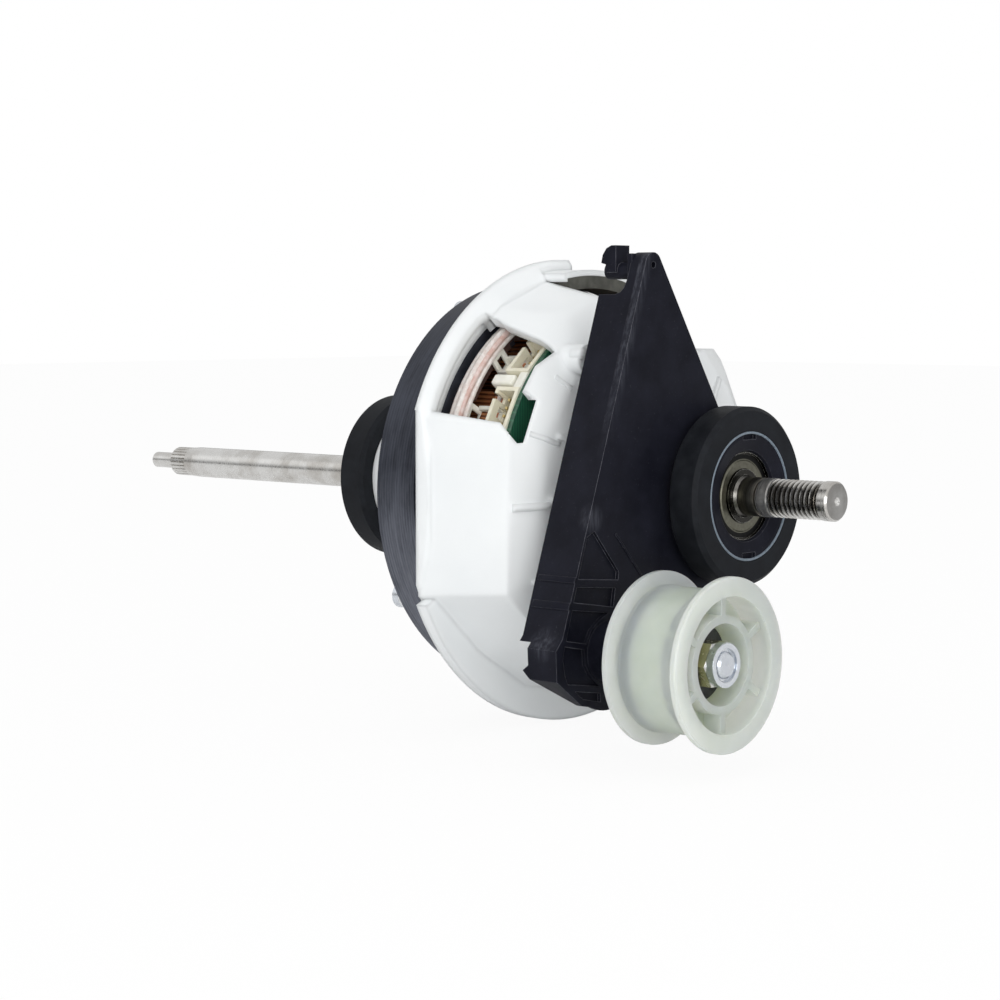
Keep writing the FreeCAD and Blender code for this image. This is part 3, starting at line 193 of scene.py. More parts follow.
coverMoulding = Finish("coverMoulding", Coat_Weight=0.1, Coat_Roughness=0.25)
cloud = coverMoulding.noise(34.0, 4.0)
grain = coverMoulding.noise(0.5, 3.0)
coverMoulding.paint(cloud, (0.3, (0.8, 0.825, 0.835)), (0.7, (0.86, 0.88, 0.885)))
coverMoulding.gloss(cloud * 0.7 + grain * 0.3, (0.3, 0.34), (0.7, 0.5))
coverMoulding.bump(grain, 0.05, 0.5, 2.2)
coverMoulding.wear("front_cover")

blackMoulding = Finish("blackMoulding", Specular_IOR_Level=0.07)
blotch = blackMoulding.noise(9.0, 5.0, 0.6)
specks = blackMoulding.noise(0.7, 4.0, 0.7)
scratches = blackMoulding.noise(1.1, 4.0, 0.65, (1.0, 1.0, 0.12))
dark = blackMoulding.ramp(blotch, (0.35, (0.0068, 0.0072, 0.012)), (0.75, (0.013, 0.0137, 0.0215)))
dusty = blackMoulding.ramp(specks, (0.63, 0.0), (0.72, 0.5))
dark = blackMoulding.mixed(dusty, dark, (0.06, 0.062, 0.07, 1))
# sharp edges are lighter, partly from scratch wear and partly as a painted highlight
wornLitEdges = blackMoulding.edges(0.5) * blackMoulding.ramp(scratches, (0.4, 0.15), (0.62, 0.8))
spot = blackMoulding.spot()
along = blackMoulding.along(0)
across = blackMoulding.along(1)
height = blackMoulding.along(2)
# the side wall is lighter near the apex along its front edge, partly scratch wear and partly painted sheen;
# the step of the foot has a painted highlight; a patch below the middle of the front edge is scuffed
scuffSheenStrip = blackMoulding.ramp((along + 0.0146) * 1000.0, (0.0, 0.0), (0.4, 1.0))
scuffSheenStrip = scuffSheenStrip * blackMoulding.ramp(height * 25.0, (0.3, 0.0), (1.0, 1.0))
outside = blackMoulding.ramp(across - height * 0.3437 + 0.0545, (0.0, 1.0), (0.0004, 0.0))
ledgeHighlight = blackMoulding.near(spot, (-18.0, -67.2, -36.4), 5.5)
smear = blackMoulding.near(spot, (-12.0, -53.6, -3.6), 4.5)
scuffedAndLit = scuffSheenStrip * outside * 0.5 + ledgeHighlight * 0.4 + smear * 0.45
scuffedAndLit = scuffedAndLit * blackMoulding.ramp(scratches, (0.42, 0.15), (0.66, 0.9))
dark = blackMoulding.mixed(scuffedAndLit, dark, (0.11, 0.115, 0.14, 1))
# painted highlight on the sharp edges, broken up by scratch wear and left off near the foot
edgeHighlightLine = blackMoulding.edges(0.28) * blackMoulding.ramp(scratches, (0.36, 0.45), (0.6, 0.95))
edgeHighlightLine = edgeHighlightLine * (1.0 - blackMoulding.near(spot, (-12.0, -47.6, -39.7), 12.5, 0.72))
dark = blackMoulding.mixed(wornLitEdges * 0.35, dark, (0.12, 0.125, 0.14, 1))
blackMoulding.feed("Base Color", blackMoulding.mixed(edgeHighlightLine, dark, (0.19, 0.195, 0.225, 1)))
blackMoulding.gloss(blotch, (0.3, 0.34), (0.7, 0.5))
blackMoulding.bump(scratches * 0.6 + specks * 0.4, 0.05, 0.5, 0.5)
blackMoulding.wear("front_bearing_holder")

blackRubber = Finish("blackRubber", Specular_IOR_Level=0.12)
dust = blackRubber.noise(6.0, 5.0, 0.6)
grain = blackRubber.noise(0.4, 2.0)
blackRubber.paint(dust, (0.35, (0.007, 0.008, 0.0105)), (0.75, (0.016, 0.018, 0.022)))
blackRubber.gloss(dust, (0.3, 0.5), (0.7, 0.7))
blackRubber.bump(grain, 0.06, 0.5)
blackRubber.wear("front_rubber_ring", "rear_rubber_ring")

turnedSteel = Finish("turnedSteel", Metallic=1.0)
rings = turnedSteel.noise(0.35, 3.0, 0.6, (1, 0.03, 0.03))
stain = turnedSteel.noise(14.0, 5.0, 0.6)
bright = turnedSteel.ramp(stain, (0.42, (0.5, 0.49, 0.47)), (0.62, (0.33, 0.3, 0.27)))
turnedSteel.feed("Base Color", bright)
turnedSteel.gloss(rings, (0.3, 0.2), (0.7, 0.42))
turnedSteel.bump(rings, 0.02, 0.35)
turnedSteel.wear("roller_sleeve", "roller_rear_washer")

shaftSteel = Finish("shaftSteel", Metallic=1.0)
rings = shaftSteel.noise(0.35, 3.0, 0.6, (1, 0.03, 0.03))
stain = shaftSteel.noise(9.0, 5.0, 0.6)
along = shaftSteel.along(0)
radius = shaftSteel.fromShaft()
bright = shaftSteel.ramp(stain, (0.4, (0.72, 0.715, 0.7)), (0.66, (0.5, 0.48, 0.45)))
# painted shade darkens the grooves' bottoms; the neck beside the bearing is darker than the crests too
grooveShade = shaftSteel.ramp(radius * 1000.0 - 4.3, (0.25, 1.0), (0.85, 0.0))
grooveShade = grooveShade * shaftSteel.ramp(along * 25.0, (0.2, 0.0), (0.22, 1.0), (0.65, 1.0), (0.66, 0.0))
neck = shaftSteel.ramp(along * 50.0 + 0.5, (0.35, 0.0), (0.37, 1.0), (0.745, 1.0), (0.755, 0.0))
bright = shaftSteel.mixed(grooveShade, bright, (0.085, 0.08, 0.073, 1))
tip = shaftSteel.ramp(along * 25.0, (0.727, 0.0), (0.731, 1.0))
grey = shaftSteel.ramp(stain, (0.38, (0.36, 0.355, 0.345)), (0.62, (0.24, 0.236, 0.228)))
bright = shaftSteel.mixed(tip, bright, grey)
shaftSteel.feed("Base Color", shaftSteel.mixed(neck * 0.9, bright, (0.09, 0.085, 0.075, 1)))
collar = shaftSteel.ramp(along * 50.0 + 0.2, (0.44, 0.0), (0.46, 1.0), (0.665, 1.0), (0.675, 0.0))
shaftSteel.feed("Roughness", shaftSteel.ramp(rings, (0.3, 0.14), (0.7, 0.34)) + collar * 0.1)
shaftSteel.bump(rings, 0.02, 0.35)
shaftSteel.wear("shaft")

raceSteel = Finish("raceSteel", Metallic=1.0)
rings = raceSteel.noise(0.25, 2.0, 0.5)
# painted shade keeps the races nearly black, and a painted highlight lightens their sharp edges
shadedRaceTone = raceSteel.ramp(rings, (0.3, (0.022, 0.021, 0.019)), (0.7, (0.05, 0.048, 0.043)))
raceSteel.feed("Base Color", raceSteel.mixed(raceSteel.edges(0.16), shadedRaceTone, (0.65, 0.64, 0.6, 1)))
raceSteel.gloss(rings, (0.3, 0.15), (0.7, 0.3))
raceSteel.wear("front_bearing_outer_race", "front_bearing_inner_race")

bearingSteel = Finish("bearingSteel", Metallic=1.0, Base_Color=(0.62, 0.61, 0.58, 1))
rings = bearingSteel.noise(0.2, 2.0, 0.5)
bearingSteel.gloss(rings, (0.3, 0.12), (0.7, 0.26))
bearingSteel.wear(
    "front_bearing_balls", "rear_bearing_outer_race", "rear_bearing_inner_race", "rear_bearing_balls",
    "rear_wave_washer",
)

shieldSteel = Finish("shieldSteel", Metallic=1.0)
rings = shieldSteel.noise(1.2, 4.0, 0.6)
radius = shieldSteel.fromShaft()
olive = shieldSteel.ramp(rings, (0.3, (0.13, 0.127, 0.098)), (0.7, (0.21, 0.205, 0.165)))
# painted shadow: beyond a radius of about 10.3 mm the shield turns nearly black
rim = shieldSteel.ramp(radius * 1000.0 - 10.0, (0.3, 0.0), (0.42, 1.0))
shieldSteel.feed("Base Color", shieldSteel.mixed(rim, olive, (0.012, 0.012, 0.012, 1)))
shieldSteel.gloss(rings, (0.3, 0.28), (0.7, 0.45))
shieldSteel.wear(
    "front_bearing_outer_shield", "front_bearing_inner_shield", "rear_bearing_outer_shield",
    "rear_bearing_inner_shield",
)

cageNylon = Finish("cageNylon", Roughness=0.5)
grain = cageNylon.noise(0.8, 3.0)
cageNylon.paint(grain, (0.3, (0.05, 0.05, 0.05)), (0.7, (0.08, 0.08, 0.078)))
cageNylon.wear("front_bearing_cage", "rear_bearing_cage")

stackSteel = Finish("stackSteel", Metallic=0.75)
sheets = stackSteel.node(
    "ShaderNodeTexWave", {"wave_type": "BANDS", "bands_direction": "X", "wave_profile": "SAW"},
    {"Vector": stackSteel.place(), "Scale": 2000.0 / math.tau, "Distortion": 0.6, "Detail": 2.0},
)
patches = stackSteel.noise(7.0, 6.0, 0.65, (1, 0.35, 0.35))
streaks = stackSteel.noise(0.6, 4.0, 0.6, (1, 0.06, 0.06))
shade = patches * 0.55 + streaks * 0.35 + sheets * 0.1
# painted light: the lower part of the stack takes a darker copy of its colour as painted shade, and the upper
# part a lighter copy as painted highlight
height = stackSteel.along(2)
low = stackSteel.ramp(height * 10.0 + 0.5, (0.2, 1.0), (0.58, 0.0))
dark = stackSteel.ramp(shade, (0.36, (0.017, 0.019, 0.027)), (0.62, (0.065, 0.071, 0.092)))
litSheets = stackSteel.ramp(shade, (0.36, (0.06, 0.066, 0.085)), (0.62, (0.21, 0.222, 0.262)))
stackSteel.feed("Base Color", stackSteel.mixed(low, dark, litSheets))
stackSteel.gloss(shade, (0.3, 0.38), (0.7, 0.62))
stackSteel.bump(sheets * 0.5 + streaks * 0.5, 0.08, 0.6)
stackSteel.wear("stator_core", "rotor_core")

magnetBlack = Finish("magnetBlack", Roughness=0.55)
grain = magnetBlack.noise(0.7, 4.0)
magnetBlack.paint(grain, (0.3, (0.03, 0.03, 0.033)), (0.7, (0.07, 0.07, 0.075)))
magnetBlack.wear("rotor_magnets", "sensor_magnet")

castAluminium = Finish("castAluminium", Metallic=1.0, Roughness=0.4)
grain = castAluminium.noise(2.0, 4.0)
castAluminium.paint(grain, (0.3, (0.55, 0.55, 0.56)), (0.7, (0.68, 0.68, 0.69)))
castAluminium.bump(grain, 0.1, 0.5)
castAluminium.wear("front_rotor_end_ring", "rear_rotor_end_ring")

copperWire = Finish("copperWire", Metallic=0.8, Roughness=0.3, Coat_Weight=0.4)
turns = copperWire.node(
    "ShaderNodeTexWave", {"wave_type": "BANDS", "bands_direction": "Z"},
    {"Vector": copperWire.place(), "Scale": 260.0, "Distortion": 1.0, "Detail": 1.0},
)
copperWire.paint(turns, (0.1, (0.2, 0.06, 0.02)), (0.7, (0.6, 0.24, 0.1)))
copperWire.bump(turns, 0.3, 0.6)
copperWire.wear("stator_coils")

pinkSleeve = Finish("pinkSleeve", Roughness=0.45)
weave = pinkSleeve.noise(2.4, 3.0)
pinkSleeve.paint(weave, (0.35, (0.72, 0.6, 0.57)), (0.6, (0.6, 0.4, 0.35)))
pinkSleeve.wear("lead_bundle")

boardLaminate = Finish("boardLaminate", Roughness=0.35, Coat_Weight=0.4, Coat_Roughness=0.15)
tracks = boardLaminate.node(
    "ShaderNodeTexBrick", {"offset": 0.5},
    {"Vector": boardLaminate.place(), "Scale": 240.0, "Color1": (0, 0, 0, 1), "Color2": (0.3, 0.3, 0.3, 1),
     "Mortar": (1, 1, 1, 1), "Mortar Size": 0.03},
)
boardLaminate.paint(tracks, (0.0, (0.008, 0.06, 0.035)), (1.0, (0.02, 0.12, 0.06)))
boardLaminate.wear("circuit_board")

creamPlastic = Finish("creamPlastic", Roughness=0.4)
grain = creamPlastic.noise(3.0, 3.0)
creamPlastic.paint(grain, (0.3, (0.72, 0.68, 0.53)), (0.7, (0.8, 0.77, 0.64)))
creamPlastic.wear("upper_header", "lower_header")

pinBrass = Finish("pinBrass", Metallic=1.0, Roughness=0.3)
grain = pinBrass.noise(1.0, 2.0)
pinBrass.paint(grain, (0.3, (0.62, 0.48, 0.2)), (0.7, (0.75, 0.62, 0.32)))
pinBrass.wear("header_pins")

naturalNylon = Finish(
    "naturalNylon", Subsurface_Weight=1.0, Subsurface_Scale=0.03, Coat_Weight=0.05,
    Subsurface_Radius=(1.0, 0.95, 0.75),
)
cloud = naturalNylon.noise(12.0, 3.0)
naturalNylon.paint(cloud, (0.3, (0.47, 0.53, 0.45)), (0.7, (0.545, 0.6, 0.52)))
naturalNylon.gloss(cloud, (0.3, 0.28), (0.7, 0.42))
naturalNylon.wear("tensioner_roller")

zincSteel = Finish("zincSteel", Metallic=1.0)
mottle = zincSteel.noise(1.6, 4.0, 0.6)
zincSteel.paint(mottle, (0.3, (0.6, 0.63, 0.68)), (0.7, (0.75, 0.78, 0.82)))
zincSteel.gloss(mottle, (0.3, 0.16), (0.7, 0.32))
zincSteel.wear("roller_bolt", "cover_screws", "board_screws")

nutZinc = Finish("nutZinc", Metallic=1.0)
mottle = nutZinc.noise(1.4, 4.0, 0.6)
along = nutZinc.along(0)
yellowed = nutZinc.ramp(along * 100.0 - 2.0, (0.55, 1.0), (0.6, 0.0))
silver = nutZinc.ramp(mottle, (0.3, (0.62, 0.65, 0.7)), (0.7, (0.78, 0.81, 0.85)))
golden = nutZinc.ramp(mottle, (0.3, (0.62, 0.56, 0.4)), (0.7, (0.76, 0.71, 0.56)))
nutZinc.feed("Base Color", nutZinc.mixed(yellowed, silver, golden))
nutZinc.gloss(mottle, (0.3, 0.14), (0.7, 0.3))
nutZinc.bump(mottle, 0.02, 0.4, 0.35)
nutZinc.wear("roller_lock_nut")

darkWasher = Finish("darkWasher", Metallic=0.6, Roughness=0.45)
mottle = darkWasher.noise(1.6, 4.0, 0.6)
darkWasher.paint(mottle, (0.3, (0.03, 0.031, 0.032)), (0.7, (0.06, 0.062, 0.062)))
darkWasher.wear("roller_front_washer")

whiteSleeve = Finish("whiteSleeve", Roughness=0.5)
weave = whiteSleeve.noise(1.6, 4.0)
whiteSleeve.paint(weave, (0.35, (0.8, 0.77, 0.74)), (0.65, (0.68, 0.6, 0.56)))

enamelCopper = Finish("enamelCopper", Roughness=0.3, Coat_Weight=0.5, Metallic=0.3)
weave = enamelCopper.noise(1.2, 4.0)
enamelCopper.paint(weave, (0.35, (0.42, 0.12, 0.05)), (0.65, (0.68, 0.32, 0.16)))

plugWhite = Finish("plugWhite", Roughness=0.38, Coat_Weight=0.1)
grain = plugWhite.noise(2.0, 3.0)
plugWhite.paint(grain, (0.3, (0.78, 0.77, 0.68)), (0.7, (0.85, 0.84, 0.78)))
plugWhite.bump(grain, 0.02, 0.4, 0.2)

# dark brown, partly the liner's own colour and partly painted shade between the lead bundle and the
# connectors
linerBrown = Finish("linerBrown", Roughness=0.5)
grain = linerBrown.noise(1.4, 4.0)
linerBrown.paint(grain, (0.3, (0.05, 0.028, 0.022)), (0.7, (0.1, 0.055, 0.042)))

journalSteel = Finish("journalSteel", Metallic=1.0, Roughness=0.34)
rings = journalSteel.noise(0.5, 3.0, 0.6, (1, 0.05, 0.05))
journalSteel.paint(rings, (0.3, (0.09, 0.085, 0.073)), (0.7, (0.16, 0.153, 0.135)))

# a light blue-grey that paints the highlight on the holder's rim
highlightBeadGrey = Finish("highlightBeadGrey", Roughness=0.45)
grain = highlightBeadGrey.noise(1.0, 3.0)
highlightBeadGrey.paint(grain, (0.3, (0.13, 0.165, 0.205)), (0.7, (0.19, 0.235, 0.285)))

# dark grey-brown that paints the shade inside the cover
interiorShade = Finish("interiorShade", Roughness=0.6, Specular_IOR_Level=0.3)
grain = interiorShade.noise(3.0, 4.0)
interiorShade.paint(grain, (0.3, (0.06, 0.06, 0.052)), (0.7, (0.11, 0.11, 0.095)))

solder = Finish("solder", Metallic=1.0, Roughness=0.35)
grain = solder.noise(0.6, 3.0)
solder.paint(grain, (0.3, (0.6, 0.6, 0.6)), (0.7, (0.82, 0.82, 0.8)))


def block(name, low, high):
    # a cube between two corners in millimetres
    bpy.ops.object.select_all(action="DESELECT")
    bpy.ops.mesh.primitive_cube_add(size=1)
    piece = bpy.context.object
    piece.name = name
    piece.scale = metres(*[b - a for a, b in zip(low, high)])
    piece.location = metres(*[(a + b) / 2 for a, b in zip(low, high)])
    bpy.ops.object.transform_apply(location=True, rotation=True, scale=True)
    return piece


def pickOnly(*pieces):
    bpy.ops.object.select_all(action="DESELECT")
    for piece in pieces:
        piece.select_set(True)
    bpy.context.view_layer.objects.active = pieces[0]


def shaped(piece, kind, **settings):
    pickOnly(piece)
    modifier = piece.modifiers.new(kind.lower(), kind)
    for name, value in settings.items():
        setattr(modifier, name, value)
    bpy.ops.object.modifier_apply(modifier=modifier.name)
    return piece


def softened(piece, width, segments=2):
    return shaped(piece, "BEVEL", width=width * 0.001, segments=segments, limit_method="ANGLE")


def cutBy(piece, cutter):
    shaped(piece, "BOOLEAN", operation="DIFFERENCE", object=cutter)
    bpy.data.objects.remove(cutter)


def joined(name, *pieces):
    pickOnly(*pieces)
    bpy.ops.object.join()
    piece = bpy.context.object
    piece.name = name
    return piece


def turnedTo(piece, angle):
    # from straight up to an angle about the shaft, from +Y towards +Z
    pickOnly(piece)
    piece.rotation_euler = (math.radians(angle - 90), 0, 0)
    bpy.ops.object.transform_apply(location=True, rotation=True, scale=True)
    return piece


def beam(name, start, end, width, back, front):
    # a bar between two (y, z) points, as deep as the stretch between two X
    (y0, z0), (y1, z1) = start, end
    piece = block(name, (back, -width / 2, 0), (front, width / 2, math.hypot(y1 - y0, z1 - z0)))
    piece.rotation_euler = (math.atan2(y0 - y1, z1 - z0), 0, 0)
    piece.location = metres(0, y0, z0)
    bpy.ops.object.transform_apply(location=True, rotation=True, scale=True)
    return piece


def facedOut(piece):
    pickOnly(piece)
    bpy.ops.object.mode_set(mode="EDIT")
    bpy.ops.mesh.select_all(action="SELECT")
    bpy.ops.mesh.normals_make_consistent(inside=False)
    bpy.ops.object.mode_set(mode="OBJECT")
    return piece


def prism(name, corners, back, front):
    # a closed solid over (y, z) corners, between two X
    bpy.ops.object.select_all(action="DESELECT")
    bpy.ops.mesh.primitive_circle_add(vertices=len(corners), fill_type="NGON")
    piece = bpy.context.object
    piece.name = name
    for vertex, (y, z) in zip(piece.data.vertices, corners):
        vertex.co = metres(back, y, z)
    bpy.ops.object.mode_set(mode="EDIT")
    bpy.ops.mesh.select_all(action="SELECT")
    bpy.ops.mesh.extrude_region_move(TRANSFORM_OT_translate={"value": metres(front - back, 0, 0)})
    bpy.ops.object.mode_set(mode="OBJECT")
    return facedOut(piece)


def slanted(name, near, far):
    # a solid between two loops of (x, y, z) corners
    count = len(near)
    piece = prism(name, [polar(10, 360 * i / count) for i in range(count)], 0, 1)
    for vertex in piece.data.vertices:
        x, y, z = (side * 1000 for side in vertex.co)
        i = round(math.degrees(math.atan2(z, y)) % 360 / 360 * count) % count
        vertex.co = metres(*(near[i] if x < 0.5 else far[i]))
    return facedOut(piece)


def copyOf(nodeName, name):
    # a welded copy of a CAD node, ready to be cut
    piece = bpy.data.objects.new(name, nodes[nodeName].data.copy())
    bpy.context.scene.collection.objects.link(piece)
    pickOnly(piece)
    bpy.ops.mesh.customdata_custom_splitnormals_clear()
    bpy.ops.object.mode_set(mode="EDIT")
    bpy.ops.mesh.select_all(action="SELECT")
    bpy.ops.mesh.remove_doubles(threshold=0.000001)
    bpy.ops.object.mode_set(mode="OBJECT")
    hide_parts(nodeName)
    return piece


def keptBetween(piece, first, last):
    # what lies between two angles about the shaft, closed at both ends
    pickOnly(piece)
    for angle, side in ((first, 1), (last, -1)):
        turn = math.radians(angle)
        bpy.ops.object.mode_set(mode="EDIT")
        bpy.ops.mesh.select_all(action="SELECT")
        bpy.ops.mesh.bisect(
            plane_co=(0, 0, 0), plane_no=(0, -side * math.sin(turn), side * math.cos(turn)), use_fill=True,
            clear_inner=True,
        )
        bpy.ops.object.mode_set(mode="OBJECT")
    return piece


def dressed(piece, finish, body="housing"):
    piece.data.materials.clear()
    piece.data.materials.append(finish.material)
    pickOnly(piece)
    bpy.ops.object.shade_smooth_by_angle(angle=smoothAngle)
    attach(piece, body)


print("winding leads")

leads = {
    "ringRadius": 44.1,
    "ringPlace": -59.1,
    "strand": 0.84,
    "spread": 1.55,
    "tilt": 0.9,
    "outerRadius": 53.3,
    "outerPlace": -65.6,
    "outerTilt": 0.5,
    "outerEnds": (117.5, 206.0),
    "strandAngle": 60.0,
    "tieCount": 14,
    "tieStart": 4.0,
    "tieRadius": 2.5,
    "tieWire": 0.3,
}


def leadRing(looks, ringRadius, ringPlace, tilt):
    strands = []
    for i, look in enumerate(looks):
        around = math.radians(leads["strandAngle"] * i)
        out = leads["spread"] if i else 0.0
        lean = math.radians(90 + tilt * math.sin(2 * around))
        swing = math.radians(tilt * math.cos(3 * around))
        bpy.ops.object.select_all(action="DESELECT")
        bpy.ops.mesh.primitive_torus_add(
            major_radius=(ringRadius + out * math.cos(around)) * 0.001, minor_radius=leads["strand"] * 0.001,
            major_segments=120, minor_segments=10, location=metres(ringPlace + out * math.sin(around), 0, 0),
            rotation=(0, lean, swing),
        )
        strand = bpy.context.object
        strand.data.materials.append(look.material)
        bpy.ops.object.transform_apply(location=True, rotation=True, scale=True)
        strands.append(strand)
    return strands


def addLeads():
    looks = [whiteSleeve, pinkSleeve, enamelCopper, whiteSleeve, pinkSleeve, whiteSleeve, enamelCopper]
    bundle = joined("leadStrands", *leadRing(looks, leads["ringRadius"], leads["ringPlace"], leads["tilt"]))
    bpy.ops.object.shade_smooth()
    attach(bundle, "housing")
    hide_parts("lead_bundle")

    looks = [whiteSleeve, pinkSleeve, whiteSleeve, enamelCopper, whiteSleeve, whiteSleeve, whiteSleeve]
    outer = leadRing(looks, leads["outerRadius"], leads["outerPlace"], leads["outerTilt"])
    loom = joined("outerLeads", *[keptBetween(strand, *leads["outerEnds"]) for strand in outer])
    bpy.ops.object.shade_smooth_by_angle(angle=smoothAngle)
    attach(loom, "housing")

    ties = []
    for i in range(leads["tieCount"]):
        around = 360.0 * i / leads["tieCount"] + leads["tieStart"]
        bpy.ops.object.select_all(action="DESELECT")
        bpy.ops.mesh.primitive_torus_add(
            major_radius=leads["tieRadius"] * 0.001, minor_radius=leads["tieWire"] * 0.001, major_segments=28,
            minor_segments=8, location=metres(leads["ringPlace"], 0, leads["ringRadius"]),
            rotation=(math.radians(90), 0, 0),
        )
        tie = bpy.context.object
        bpy.ops.object.transform_apply(location=True, rotation=True, scale=True)
        ties.append(turnedTo(tie, around))
    dressed(joined("leadTies", *ties), plugWhite)


addLeads()

liner = {"base": -69.5, "height": 3.3, "cadHeight": 6.0}


def addLiner():
    piece = copyOf("front_insulator", "slotLiner")
    base = liner["base"] * 0.001
    for vertex in piece.data.vertices:
        vertex.co.x = base + (vertex.co.x - base) * liner["height"] / liner["cadHeight"]
    dressed(piece, linerBrown)


addLiner()

print("tensioner arm")

arm = {
    "pocketFloor": -13.0,
    "pocketMouth": -11.0,
    "pockets": (
        ((-56.0, -8.4), (-53.0, -7.0), (-42.8, -18.6), (-43.0, -20.8), (-59.6, -19.4)),
        ((-60.2, -21.4), (-44.2, -22.9), (-45.0, -28.0), (-61.4, -25.4)),
        ((-61.9, -27.4), (-47.0, -29.4), (-50.5, -30.8), (-54.4, -33.6), (-56.2, -36.9), (-64.4, -35.4)),
        ((-65.0, -36.8), (-57.0, -38.4), (-56.7, -42.4), (-54.2, -46.2), (-50.6, -48.9), (-63.8, -47.0),
         (-65.0, -44.2), (-65.7, -40.2)),
        ((-60.8, -49.2), (-50.4, -50.8), (-50.2, -53.2), (-57.4, -51.7)),
    ),
    "sideRibs": (((-60.4, -18.8), (-60.95, -20.4)), ((-62.65, -25.4), (-63.35, -27.4))),
    "sideRibBack": -25.0,
    "ribWidth": 0.7,
    "face": -12.0,
    "thinRib": ((-44.4, -8.3), (-33.3, -20.2)),
    "hookWeb": ((-18.5, -31.8, 59.5), (-16.8, -28.6, 67.1)),
}


def addArm():
    moulding = copyOf("tensioner_arm", "armMoulding")
    for corners in arm["pockets"]:
        cutBy(moulding, prism("cutter", corners, arm["pocketFloor"], arm["pocketMouth"]))
    dressed(moulding, blackMoulding, "tensioner")
    width, face = arm["ribWidth"], arm["face"]
    ribs = [beam("sideRib", high, low, width, arm["sideRibBack"], face) for high, low in arm["sideRibs"]]
    ribs.append(beam("thinRib", *arm["thinRib"], width, face - 0.3, face + 0.35))
    ribs.append(block("hookWeb", *arm["hookWeb"]))
    ribs = joined("armRibs", *[softened(rib, 0.15) for rib in ribs])
    dressed(ribs, blackMoulding, "tensioner")


addArm()

print("front cover")

cover = {
    # angle, inner and outer radius, width
    "ribs": (
        (139.5, 46.5, 51.8, 1.2), (160.2, 43.6, 53.6, 1.5), (182.3, 44.0, 55.2, 2.2),
        *((angle, 44.0, 55.0, 1.8) for angle in (205.0, 227.5, 250.0, 272.5, 295.0, 317.5, 340.0, 2.5)),
    ),
    "ribHeight": 0.8,
    "ribRoot": 0.5,
    "ribStart": -20.0,
    # corners of the window's lower right end on the shoulder, and above the board
    "notchNear": (
        (-38.0, -50.0, 27.3), (-35.4, -50.0, 27.3), (-35.9, -54.8, 15.8), (-38.1, -54.8, 15.6),
        (-40.8, -54.3, 17.5), (-44.3, -53.6, 19.4),
    ),
    "notchFar": (
        (-46.4, -40.5, 26.7), (-46.4, -37.6, 26.7), (-46.4, -43.0, 14.9), (-46.4, -45.5, 14.9),
        (-46.4, -48.0, 17.0), (-46.4, -51.3, 19.2),
    ),
    "notchReach": 0.35,
    "notchShort": 0.12,
    "bossPlace": (-34.5, -33.8, 39.6),
    "bossRadius": 1.5,
    "bossLength": 4.6,
}


def coverRib(angle, inner, outer, width):
    bpy.ops.object.select_all(action="DESELECT")
    bpy.ops.mesh.primitive_grid_add(x_subdivisions=2, y_subdivisions=24, size=1)
    rib = bpy.context.object
    rib.name = "rib"
    rib.scale = (width * 0.001, (outer - inner) * 0.001, 1)
    bpy.ops.object.transform_apply(location=True, rotation=True, scale=True)
    # the strip lies in the YZ plane with its length along Z
    rib.rotation_euler = (math.radians(90), 0, math.radians(90))
    rib.location = metres(cover["ribStart"], 0, (inner + outer) / 2)
    bpy.ops.object.transform_apply(location=True, rotation=True, scale=True)
    turnedTo(rib, angle)
    shaped(
        rib, "SHRINKWRAP", target=nodes["front_cover"], wrap_method="PROJECT", use_project_x=True,
        use_project_y=False, use_project_z=False, use_negative_direction=True, use_positive_direction=False,
        offset=cover["ribHeight"] * 0.001,
    )
    shaped(rib, "SOLIDIFY", thickness=(cover["ribHeight"] + cover["ribRoot"]) * 0.001, offset=-1.0)
    return softened(facedOut(rib), 0.35)


def addCover():
    c = cover
    ribs = [coverRib(*rib) for rib in c["ribs"]]
    bpy.ops.object.select_all(action="DESELECT")
    bpy.ops.mesh.primitive_cylinder_add(
        vertices=24, radius=c["bossRadius"] * 0.001, depth=c["bossLength"] * 0.001,
        location=metres(*c["bossPlace"]), rotation=(0, math.radians(90), 0),
    )
    boss = bpy.context.object
    bpy.ops.object.transform_apply(location=True, rotation=True, scale=True)
    dressed(joined("coverRibs", softened(boss, 0.7, 3), *ribs), coverMoulding)

    pairs = list(zip(c["notchNear"], c["notchFar"]))
    near = [[a + (a - b) * c["notchReach"] for a, b in zip(*pair)] for pair in pairs]
    far = [[b + (a - b) * c["notchShort"] for a, b in zip(*pair)] for pair in pairs]
    moulding = copyOf("front_cover", "coverMoulding")
    cutBy(moulding, slanted("cutter", near, far))
    dressed(moulding, coverMoulding)


addCover()

# a dark grey-brown strip inside the top of the cover, in front of the stack: painted shade of the cover's
# interior
shadeStrip = {"inner": 58.0, "outer": 61.7, "back": -68.5, "front": -57.6, "first": 39.0, "last": 100.0}
shadeStripSteps = 24


def addShadeStrip():
    reach = shadeStrip["last"] - shadeStrip["first"]
    turns = [shadeStrip["first"] + reach * i / shadeStripSteps for i in range(shadeStripSteps + 1)]
    corners = [polar(shadeStrip["outer"], turn) for turn in turns]
    corners += [polar(shadeStrip["inner"], turn) for turn in reversed(turns)]
    dressed(prism("interiorShadeStrip", corners, shadeStrip["back"], shadeStrip["front"]), interiorShade)


addShadeStrip()

# everything behind the cut is taken off, so that only a half ring stands on the holder
bead = {"radius": 17.75, "wire": 0.38, "place": -0.3, "cut": -0.4}


